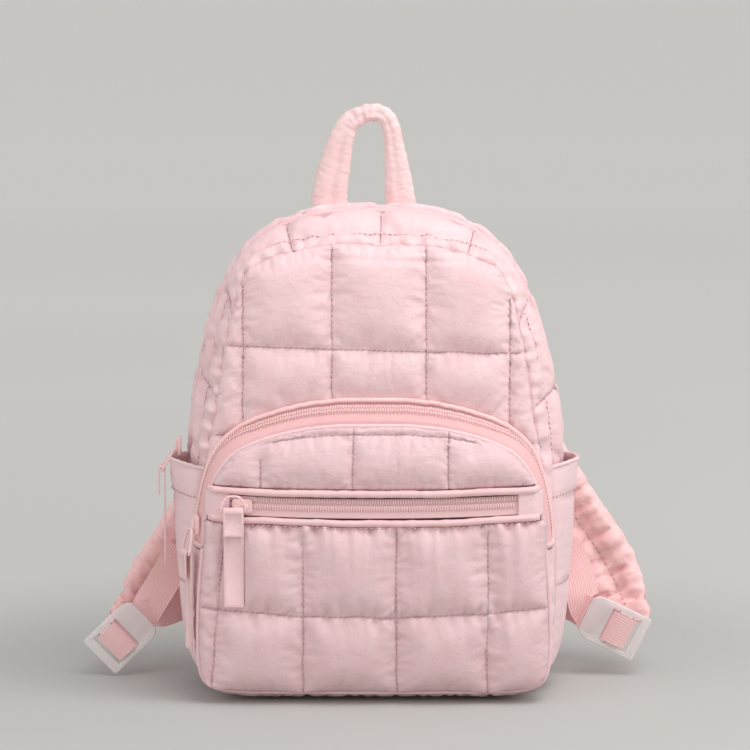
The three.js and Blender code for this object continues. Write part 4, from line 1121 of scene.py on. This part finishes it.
def buildMainZip():
    low, columns = math.radians(90), zips["mainColumns"]
    edges = []
    for y in np.linspace(*zips["mainY"], 9):             # the selvedges go under the gussets
        run = rimOf("main_zip", np.clip(y, *zips["mainCastY"]), zips["mainCentre"], 500, low, 2 * math.pi - 2 * low)
        run = evenRun(run[::-1], columns)
        edges.append(np.stack([run[:, 0], np.full(columns, y), run[:, 1]], 1))
    net = np.array(edges)
    out = netOutward(net)
    net = net - out[None] * zips["mainDrop"]
    piece, order = addNet("mainZip", net)
    thicken(piece, 1.2 * mm)
    finishPiece(piece, paleTape, "zip_tape", "main_zip")
    middle = net[len(net) // 2]
    places = coilPlaces(middle, np.array((0, 1.0, 0)), out, zips["coilHalf"], zips["mainPitch"])
    finishPiece(scatterPills("mainZipTeeth", places, zips["toothSize"]), zipCoil, "zip_tape")
    for name, y, lift, size, seed in zips["mainLips"]:
        path = middle * (1, 0, 1) + (0, y, 0) + out * lift
        wave = np.array([noise.noise((k / 4, seed, 0)) for k in range(len(path))])
        roll = addTube(name, ovalRings(path, (0, 1, 0), out, size, size * (0.95 + 0.06 * wave), 12))
        # painted shade: the deeper lip nylon stands in for the shade of the fold between the two lips
        finishPiece(roll, lipNylon, "plain_nylon")


buildZipBand()
buildWeltTape()
for lip in zips["lips"]:
    buildWeltLip(*lip)
buildWeltEnd(-1, "weltEndLeft", "welt_end_left")
buildWeltEnd(1, "weltEndRight", "welt_end_right")
buildMainZip()
print("zips laid")

# side pockets, the pocket's side wall, the back and the base
sides = {
    "columns": 44, "rows": 72, "wall": 1.5 * mm,
    "depthHalf": 32.6 * mm, "seamY": 37.4 * mm, "seamTuck": 1.2 * mm, "footTuck": 1.5 * mm,
    "innerX": 70 * mm,                   # middle of the curve that the pocket bulges from
    "hem": 20 * mm, "hemLift": 0.7 * mm, "hemStep": 1.2 * mm, "hemThread": 1.6 * mm,
    "lowSeam": 67 * mm, "edgeRoll": (2.6 * mm, 2.4 * mm),
    "puff": {"pressure": 0.6, "spare": 0.012, "cap": 2 * mm, "bend": 0.5},
}
pocketSide = {
    "firstAngle": -108.4, "columns": 200, "rows": 10, "wall": 1.4 * mm, "piping": (3.0 * mm, 3.0 * mm),
    "puff": {"pressure": 1.5, "spare": 0.06, "cap": 2.5 * mm, "seed": 9},
}
back = {
    "centre": (0, 130 * mm), "rimY": 40 * mm, "seamY": 38.6 * mm, "fallbackY": 42 * mm,
    "lowCorner": (66 * mm, 3 * mm), "highCorner": (70 * mm, 268 * mm), "rows": 110, "columns": 84,
    "inset": 0.995, "snap": 1.6 * mm, "sink": 3.2 * mm, "wall": 1.2 * mm,
    "upright": [-54 * mm, 0, 54 * mm], "uprightReach": (4 * mm, 284 * mm),
    "level": [50 * mm, 104 * mm, 158 * mm, 212 * mm, 258 * mm], "levelHalf": 108 * mm,
    "puff": {"pressure": 3.0, "spare": 0.035, "cap": 4.4 * mm, "seed": 6},
}
base = {
    "half": (71 * mm, 37.6 * mm), "columns": 72, "rows": 40, "castHalf": 69.4 * mm, "fallbackZ": 2 * mm,
    "ripple": 0.35 * mm, "grain": 9, "groove": 1.6 * mm, "grooveWidth": 2.2 * mm, "grooves": (-54 * mm, 0, 54 * mm),
    "wall": 3 * mm,
}


def buildSidePocket(side, name, node):
    net = np.zeros((sides["rows"], sides["columns"], 3))
    depths = np.linspace(-sides["depthHalf"], sides["depthHalf"], sides["columns"])
    for j, y in enumerate(depths[::-1] if side < 0 else depths):
        outerAt = lambda z: castOnto(node, (side, y, z), (-side, 0, 0))
        hits = [z for z in np.arange(8, 146, 0.5) * mm if outerAt(z)]
        for i, z in enumerate(np.linspace(hits[0], hits[-1], sides["rows"])):
            net[i, j] = outerAt(min(max(z, hits[0]), hits[-1] - 0.01 * mm)) or net[i - 1, j]
    for edge in (0, -1):                 # reaches into the seams
        y = math.copysign(sides["seamY"], net[0, edge, 1])
        gusset = "front_gusset" if y < 0 else "rear_gusset"
        for i in range(len(net)):
            hit = castOnto(gusset, (side, y, net[i, edge, 2]), (-side, 0, 0))
            net[i, edge] = (hit.x - side * sides["seamTuck"], y, net[i, edge, 2])
    drop = net[-1][None, :, 2] - net[:, :, 2]
    hem = np.clip((sides["hem"] + sides["hemStep"] / 2 - drop) / sides["hemStep"], 0, 1)
    net[:, :, 0] += side * hem * sides["hemLift"]
    net[0, :, 0] -= side * sides["footTuck"]
    inner = np.array((side * sides["innerX"], 0, 0))
    out = netNormals(net)
    out = out * np.sign((out * (net - inner) * (1, 1, 0)).sum(2, keepdims=True) + 1e-9)
    held, columns, threads = borderOf(*net.shape[:2]), np.arange(net.shape[1]), []
    for gaps in (drop - sides["hem"] + sides["hemThread"], net[:, :, 2] - sides["lowSeam"]):
        at = (np.argmin(np.abs(gaps), axis=0), columns)
        threads.append((net[at], out[at]))
        held[at] = True
    piece, order = addNet(name, net)
    puffCloth(piece, order[held], **sides["puff"], seed=20 + side)
    thicken(piece, sides["wall"])
    for points, ways in threads:
        sew("seam", layOn(piece, points, ways), ways)
    finishPiece(piece, plainNylon, "plain_nylon", node)
    edge = evenRun(net[-1], 90)
    outward = unit((edge - inner) * (1, 1, 0))
    roll = addTube(name + "Edge", ovalRings(edge, outward, (0, 0, 1), *sides["edgeRoll"], 10))
    finishPiece(roll, plainNylon, "plain_nylon")


def buildPocketSide():
    facts, first = pocketSide, pocketSide["firstAngle"]
    net = bandNet("pocket_side", zipBand["centre"], first, -2 * first, zipBand["yRange"],
                  facts["columns"], facts["rows"])
    piece, order = addNet("pocketSide", net)
    puffCloth(piece, order[borderOf(*net.shape[:2])], **facts["puff"])
    thicken(piece, facts["wall"])
    finishPiece(piece, quiltedNylon, "quilted_nylon", "pocket_side")
    rim = evenRun(net[0], 260)
    outward = unit(rim * (1, 0, 1) - (0, 0, zipBand["centre"][1]))
    piping = addTube("pocketEdgePiping", ovalRings(rim, outward, (0, -1, 0), *facts["piping"], 10))
    finishPiece(piping, quiltedNylon, "quilted_nylon")


def buildBack():
    facts, rows, cols = back, back["rows"], back["columns"]
    rim = rimOf("back_panel", facts["rimY"], facts["centre"])
    net = patchGrid(*rimEdges(rim, facts["lowCorner"], facts["highCorner"], rows, cols))
    flat = net[:, ::-1].reshape(-1, 2)   # seen from behind
    edge = borderOf(rows, cols).ravel()
    lines = [uprightLine(x, *facts["uprightReach"]) for x in facts["upright"]]
    lines += [levelLine(z, facts["levelHalf"]) for z in facts["level"]]
    runs = [[k for k in snapLine(line, flat, facts["snap"]) if not edge[k]] for line in lines]
    points = np.zeros((rows * cols, 3))
    inset, middleZ = facts["inset"], facts["centre"][1]
    for k, (x, z) in enumerate(flat):
        hit = castOnto("back_panel", (x * inset, 1, middleZ + (z - middleZ) * inset), (0, -1, 0))
        points[k] = (x, (hit.y if hit else facts["fallbackY"]) - facts["sink"], z)
    points[edge, 1] = facts["seamY"]
    held = edge.copy()
    for line, run in zip(lines, runs):
        held[sewPins("quilt", points, inOrder(run, line, points), (0, 1, 0))] = True
    piece, order = addNet("backPanel", points.reshape(rows, cols, 3))
    puffCloth(piece, order.ravel()[held], **facts["puff"])
    thicken(piece, facts["wall"])
    finishPiece(piece, quiltedNylon, "quilted_nylon", "back_panel")


def buildBase():
    halfX, halfY = base["half"]
    xs, ys = np.linspace(-halfX, halfX, base["columns"]), np.linspace(halfY, -halfY, base["rows"])
    net = np.zeros((len(ys), len(xs), 3))
    for i, y in enumerate(ys):
        for j, x in enumerate(xs):
            hit = castOnto("base_panel", (np.clip(x, -base["castHalf"], base["castHalf"]), y, -1), (0, 0, 1))
            z = hit.z if hit else base["fallbackZ"]
            ripple = base["ripple"] * (1 + noise.noise((x / mm / base["grain"], y / mm / base["grain"], 2)))
            groove = max(math.exp(-((x - at) / base["grooveWidth"]) ** 2) for at in base["grooves"])
            net[i, j] = (x, y, z + ripple + base["groove"] * groove)
    piece, order = addNet("basePanel", net)
    thicken(piece, base["wall"])
    finishPiece(piece, quiltedNylon, "quilted_nylon", "base_panel")


buildSidePocket(-1, "sidePocketLeft", "side_pocket_left")
buildSidePocket(1, "sidePocketRight", "side_pocket_right")
buildPocketSide()
buildBack()
buildBase()
print("sides, back and base sewn")

# carrying: grab handle, shoulder straps, webbing and buckles
handle = {
    "path": [(-27.5, 291.5), (-26.5, 303), (-23.8, 317), (-19.8, 333), (-14.5, 343.5), (-4.5, 348.6),
             (5.0, 348.4), (10.2, 340.5), (12.9, 324), (15.0, 306), (16.6, 291.5)],     # X and Z of the middle line
    "width": [22.5, 21, 19, 16.0, 12.5, 10.5, 10.5, 11.5, 14.5, 17.5, 19],
    "y": 18 * mm, "depth": 10.5 * mm, "rings": 150, "sides": 36,
    "gathers": (0.52, 0.12), "edgeFold": (0.42, 0.1),    # places along the loop
}
straps = {
    "left": [(-34, 49, 258, 40, 9), (-52, 49.6, 218, 44, 9), (-73, 49.8, 172, 44, 9), (-94, 50.2, 126, 44, 9),
             (-117, 51.6, 84, 44, 9), (-138, 51, 53, 42, 9), (-151, 42, 37, 32, 8), (-157, 31, 29.5, 26, 6),
             (-159, 23.4, 25, 22, 4)],
    "right": [(34, 49, 258, 40, 9), (52, 49.6, 218, 44, 9), (75, 49.8, 174, 44, 9), (100, 50.2, 136, 44, 9),
              (124, 51.6, 98, 44, 9), (145, 51, 66, 44, 9), (154.5, 42, 48, 38, 8), (158, 31.5, 38.5, 31, 6.5),
              (159, 23.4, 32, 24, 4)],
    "pucker": (1.2 * mm, 9 * mm, 7 * mm), "crease": (2.6 * mm, 11.5 * mm, 2.4 * mm, 21 * mm),
    "rings": 190, "endRings": 5,         # no creases in the sewn ends
    "sides": 40,
    "channel": 2.2 * mm,                 # depth of the sewn middle line
    "fuller": 1 * mm, "thinner": 2.5 * mm,               # what the pressure takes and gives back
    "pressure": 1.5, "spare": 0.05, "cap": 3.5 * mm,
}
webbing = {
    "width": 20 * mm, "thickness": 1.2 * mm, "rings": 260, "across": 9, "buckleBevel": 0.9 * mm,
    # middle of the buckle and the way to its thumb tab
    "buckle": {"left": ((-156.5, 14, 25), (0.72, 0, 0.69)), "right": ((148.5, 14, 31), (-0.9, 0, 0.44))},
    "run": {"left": [(-97, 43.9, 44), (-110, 45.8, 43), (-119, 40, 41), (-130, 27, 39)],
            "right": [(97, 43.9, 44), (110, 45.8, 43), (118, 40, 42), (126, 27, 41)]},
    "tail": {"left": [(-139, 21.5, 45), (-132, 25.5, 56), (-126, 32, 66), (-120, 40, 75)],
             "right": [(129.5, 21.5, 50), (127.5, 26, 60), (124, 32.5, 69), (119, 40, 77)]},
    # along the buckle towards its thumb tab, and behind its middle plane
    "through": [(18.5, 3.2), (7, 2.9), (4.4, 2.9), (2.75, 0), (1.1, -2.9), (-9.35, -2.9), (-11, 0),
                (-11, 2.9), (-9.35, 4.4), (7, 4.7), (18.5, 5.6)],
}


def buildHandle():
    count, around = handle["rings"], handle["sides"]
    flat = smoothPath([(x * mm, handle["y"], z * mm) for x, z in handle["path"]], count)
    share = np.linspace(0, 1, count)
    width = np.interp(share, np.linspace(0, 1, len(handle["width"])), np.array(handle["width"]) * mm)
    along = unit(np.gradient(flat, axis=0))
    wide = np.stack([along[:, 2], 0 * share, -along[:, 0]], 1)       # towards the inside of the loop
    deep = np.tile((0, -1.0, 0), (count, 1))
    rings = ovalRings(flat, wide, deep, width, np.full(count, handle["depth"]), around, 0.85)
    angle = np.arange(around) * 2 * math.pi / around
    (topAt, topReach), (legTo, legFade) = handle["gathers"], handle["edgeFold"]
    top = np.exp(-((share - topAt) / topReach) ** 2)                 # gathers where the loop turns
    leg = np.clip((legTo - share) / legFade, 0, 1)                   # folded edge down the front of one leg
    groove = np.exp(-((np.sin(angle) - 1) / 0.25) ** 2) * np.exp(-((np.cos(angle) - 0.1) / 0.16) ** 2)
    ripples = lambda along, size, shift: np.array(
        [noise.noise((along, math.cos(a) * size, shift + math.sin(a) * size)) for a in angle])
    for k, middle in enumerate(flat):
        pleat, fine = ripples(share[k] * 46, 1.2, 0), ripples(share[k] * 90, 2.4, 5)
        scale = 1 + pleat * (0.05 + 0.16 * top[k]) + fine * 0.05 - groove * 0.42 * (0.35 + 0.65 * leg[k])
        rings[k] = middle + (rings[k] - middle) * scale[:, None]
    piece = addTube("grabHandle", rings)
    applyModifier(piece, "soften", "SUBSURF", levels=1, render_levels=1)
    finishPiece(piece, handleNylon, "strap_nylon", "grab_handle")


def buildStrap(side, seed):
    rows = np.array(straps[side], float) * mm
    dense = smoothPath(rows, straps["rings"])
    path, width, depth = dense[:, :3], dense[:, 3] + straps["fuller"], dense[:, 4] - straps["thinner"]
    along = unit(np.gradient(path, axis=0))
    wide = unit(np.cross(along, (0, 1, 0)))
    deep = unit(np.cross(wide, along))
    rings = ovalRings(path, wide, deep, width, depth, straps["sides"], 0.75)
    quarter, middles = straps["sides"] // 4, []
    for k, sign in ((quarter, 1), (3 * quarter, -1)):    # sewn down the middle of both faces
        rings[:, k] -= deep * sign * np.minimum(straps["channel"], depth * 0.3)[:, None]
        middles.append(rings[:, k].copy())
        sew("strap", middles[-1][4:-8], sign * deep[4:-8])
    piece = addTube("strapLeft" if side == "left" else "strapRight", rings)
    skin = shapeOf(piece)
    ends = [rings[end] for end in (0, -1, -2, -3)]
    held = {int(np.argmin(np.linalg.norm(skin - p, axis=1))) for line in middles + ends for p in line}
    puffCloth(piece, sorted(held), straps["pressure"], straps["spare"], cap=straps["cap"], seed=seed)
    smooth = shapeOf(piece)
    puckerAlong(piece, middles, *straps["pucker"], seed)
    foldAcross(piece, middles, *straps["crease"], seed)
    ring = np.argmin(np.linalg.norm(smooth[:, None] - path[None], axis=2), axis=1)
    inner = np.clip(np.minimum(ring, len(path) - 1 - ring) / straps["endRings"], 0, 1)[:, None]
    setShape(piece, smooth + (shapeOf(piece) - smooth) * inner)
    finishPiece(piece, strapNylon, "strap_nylon", "strap_" + side)


def buildWebbing(side):
    centre, tab = webbing["buckle"][side]
    tab = unit(tab)
    face = np.array((0, -1.0, 0))
    slots = np.cross(tab, face)
    inside = [np.array(centre) + tab * a - face * b for a, b in webbing["through"]]
    run, tail = webbing["run"][side], webbing["tail"][side]
    points = np.array([*run, *inside, *tail], float) * mm
    first, last = len(run), len(points) - len(tail) - 1
    ways = []
    for k in range(len(points)):
        along = unit(points[min(k + 1, len(points) - 1)] - points[max(k - 1, 0)])
        across = unit(np.cross(along, (0, 1, 0)))
        across = across * (1 if across @ slots > 0 else -1)
        ways.append(slots if first <= k <= last else across)
    dense = smoothPath(np.hstack([points, np.array(ways)]), webbing["rings"])
    path, wide = dense[:, :3], unit(dense[:, 3:])
    deep = unit(np.cross(wide, unit(np.gradient(path, axis=0))))
    half, thin = webbing["width"] / 2, webbing["thickness"] / 2
    shares = np.linspace(-1, 1, webbing["across"])
    section = [(s, 1) for s in shares] + [(s, -1) for s in shares[::-1]]
    rings = np.stack([path + wide * half * s + deep * thin * t for s, t in section], 1)
    piece = addTube("webbingLeft" if side == "left" else "webbingRight", rings)
    finishPiece(piece, ribbedWebbing, "webbing", "webbing_" + side)
    activate(piece)
    bpy.ops.object.shade_smooth_by_angle(angle=math.radians(50))


buildHandle()
for seed, side in enumerate(("left", "right")):
    buildStrap(side, 30 + seed)
    buildWebbing(side)
    dressNode("buckle_" + side, "buckleLeft" if side == "left" else "buckleRight", clearPlastic, "clear_plastic",
              webbing["buckleBevel"], 4)
print("handle, straps and buckles made")

# zip pulls: slider, wire ring and folded tab on each of the three zips
pulls = {
    "welt": {"eye": (-85, None, 115.5), "turn": 0, "lean": 0, "ringHeight": 9, "along": "X"},
    "pocket": {"eye": (-112.4, -55, 90), "turn": -70, "lean": 12, "ringHeight": 15, "along": "Z"},
    "main": {"eye": (-129.6, -3, 133), "turn": -86, "lean": 33, "ringHeight": 13, "along": "Z"},
    "rimFrom": 90 * mm * mm, "rimWidth": 0.9 * mm, "rimHeight": 0.35 * mm, "rimSlope": 0.25 * mm,
    "wire": 1.5 * mm, "tabBevel": 0.35 * mm,
    # size, place, cut corner and soft edge
    "plate": ((12.0 * mm, 8.8 * mm, 2.4 * mm), (0, 0, 0), 1.8 * mm, 0.5 * mm),
    "bridge": ((8.5 * mm, 3.2 * mm, 2.2 * mm), (-0.6 * mm, 0, 1.9 * mm), 0.9 * mm, 0.6 * mm),
}


def pullTurn(facts):
    turn, lean = math.radians(facts["turn"]), math.radians(facts["lean"])
    return Matrix.Rotation(turn, 3, "Z") @ Matrix.Rotation(-lean, 3, "X")


def buildRing(zipName, facts):
    low, high = (Vector(corner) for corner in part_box(zipName + "_ring"))
    x, y, z = facts["eye"]
    eye = Vector((x * mm, (low.y + high.y) / 2 if y is None else y * mm, z * mm))
    top = facts["ringHeight"]
    half = [(6.7, 0), (7.0, 2.6), (6.0, 0.62 * top), (3.4, 0.93 * top), (0, top)]
    loop = [(-x, z) for x, z in half] + [(x, z) for x, z in half[-2::-1]]
    path = smoothPath([(x * mm, 0, z * mm) for x, z in loop], 60)
    path = np.vstack([path, evenRun([path[-1], path[0]], 12)[1:-1]])
    turn = np.array(pullTurn(facts))
    path = path @ turn.T + np.array(eye)
    ways, side = unit(np.roll(path, -1, 0) - np.roll(path, 1, 0)), turn[:, 1]
    rings = ovalRings(path, unit(np.cross(ways, side)), side, pulls["wire"], pulls["wire"], 10)
    return finishPiece(addTube(zipName + "Ring", rings, closed=True), pullMetal, "pull_metal", zipName + "_ring")


def softBox(size, place, corner, edge):
    # a block with cut corners and soft edges
    bpy.ops.object.select_all(action="DESELECT")
    bpy.ops.mesh.primitive_cube_add(size=1, location=place)
    block = bpy.context.object
    block.scale = size
    bpy.ops.object.transform_apply(location=True, rotation=False, scale=True)
    bpy.ops.object.mode_set(mode="EDIT")
    bpy.ops.mesh.select_all(action="DESELECT")
    bpy.ops.object.mode_set(mode="OBJECT")
    for line in block.data.edges:        # the four upright edges
        a, b = (block.data.vertices[k].co for k in line.vertices)
        line.select = abs(a.z - b.z) > size[2] / 2
    bpy.ops.object.mode_set(mode="EDIT")
    bpy.ops.mesh.bevel(offset=corner, segments=2)
    bpy.ops.object.mode_set(mode="OBJECT")
    applyModifier(block, "edges", "BEVEL", width=edge, segments=3,
                  limit_method="ANGLE", angle_limit=math.radians(50))
    return block


def buildSlider(zipName, facts):
    low, high = (Vector(corner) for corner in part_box(zipName + "_slider"))
    turn = math.radians(facts["turn"])
    face = Vector((math.sin(turn), -math.cos(turn), 0))
    along = Vector((math.cos(turn), math.sin(turn), 0)) if facts["along"] == "X" else Vector((0, 0, 1))
    plate, bridge = softBox(*pulls["plate"]), softBox(*pulls["bridge"])
    activate(plate)
    bridge.select_set(True)
    bpy.ops.object.join()
    plate.name = plate.data.name = zipName + "Slider"
    basis = Matrix((along, face.cross(along), face)).transposed().to_4x4()
    plate.data.transform(Matrix.Translation((low + high) / 2) @ basis)
    finishPiece(plate, pullMetal, "pull_metal", zipName + "_slider")
    activate(plate)
    bpy.ops.object.shade_smooth_by_angle(angle=math.radians(40))
    return plate


def rimTab(tab, facts):
    # a low raised edge round the face of the tab, where the folded cloth is pressed
    face = pullTurn(facts) @ Vector((0, -1, 0))
    activate(tab)
    bpy.ops.object.mode_set(mode="EDIT")
    bpy.ops.mesh.select_mode(type="FACE")
    bpy.ops.mesh.select_all(action="DESELECT")
    bpy.ops.object.mode_set(mode="OBJECT")
    for side in tab.data.polygons:
        side.select = side.area > pulls["rimFrom"] and side.normal.dot(face) > 0.9
    bpy.ops.object.mode_set(mode="EDIT")
    bpy.ops.mesh.inset(thickness=pulls["rimWidth"], depth=0)
    bpy.ops.mesh.inset(thickness=pulls["rimSlope"], depth=-pulls["rimHeight"])
    bpy.ops.object.mode_set(mode="OBJECT")


for zipName in ("welt", "pocket", "main"):
    tab = dressNode(zipName + "_tab", zipName + "Tab", pullCloth, "pull_tab", pulls["tabBevel"])
    rimTab(tab, pulls[zipName])
    parts = [tab, buildRing(zipName, pulls[zipName]), buildSlider(zipName, pulls[zipName])]
    if zipName == "welt":                # follows the lie of the welt
        for piece in parts:
            piece.data.transform(Matrix.Translation(pocket["pullShift"]))
print("zip pulls made")

# thread: every remembered line as a row of small rounded stitches
thread = {
    "quilt": {"length": 2.6 * mm, "pitch": 3.3 * mm, "width": 0.9 * mm},
    "seam": {"length": 2.4 * mm, "pitch": 3.2 * mm, "width": 0.75 * mm},
    "tape": {"length": 1.8 * mm, "pitch": 2.2 * mm, "width": 0.5 * mm},
    "strap": {"length": 2.8 * mm, "pitch": 3.8 * mm, "width": 0.6 * mm},
}
stitchLift = 0.35 * mm
for kind, facts in thread.items():
    places = stitchPlaces(sewnLines[kind], facts["length"], facts["pitch"], stitchLift)
    stitches = scatterPills(kind + "Stitches", places, (facts["length"], facts["width"], facts["width"]))
    finishPiece(stitches, threadLook, "quilted_nylon")
    print(kind, "stitches:", len(places))
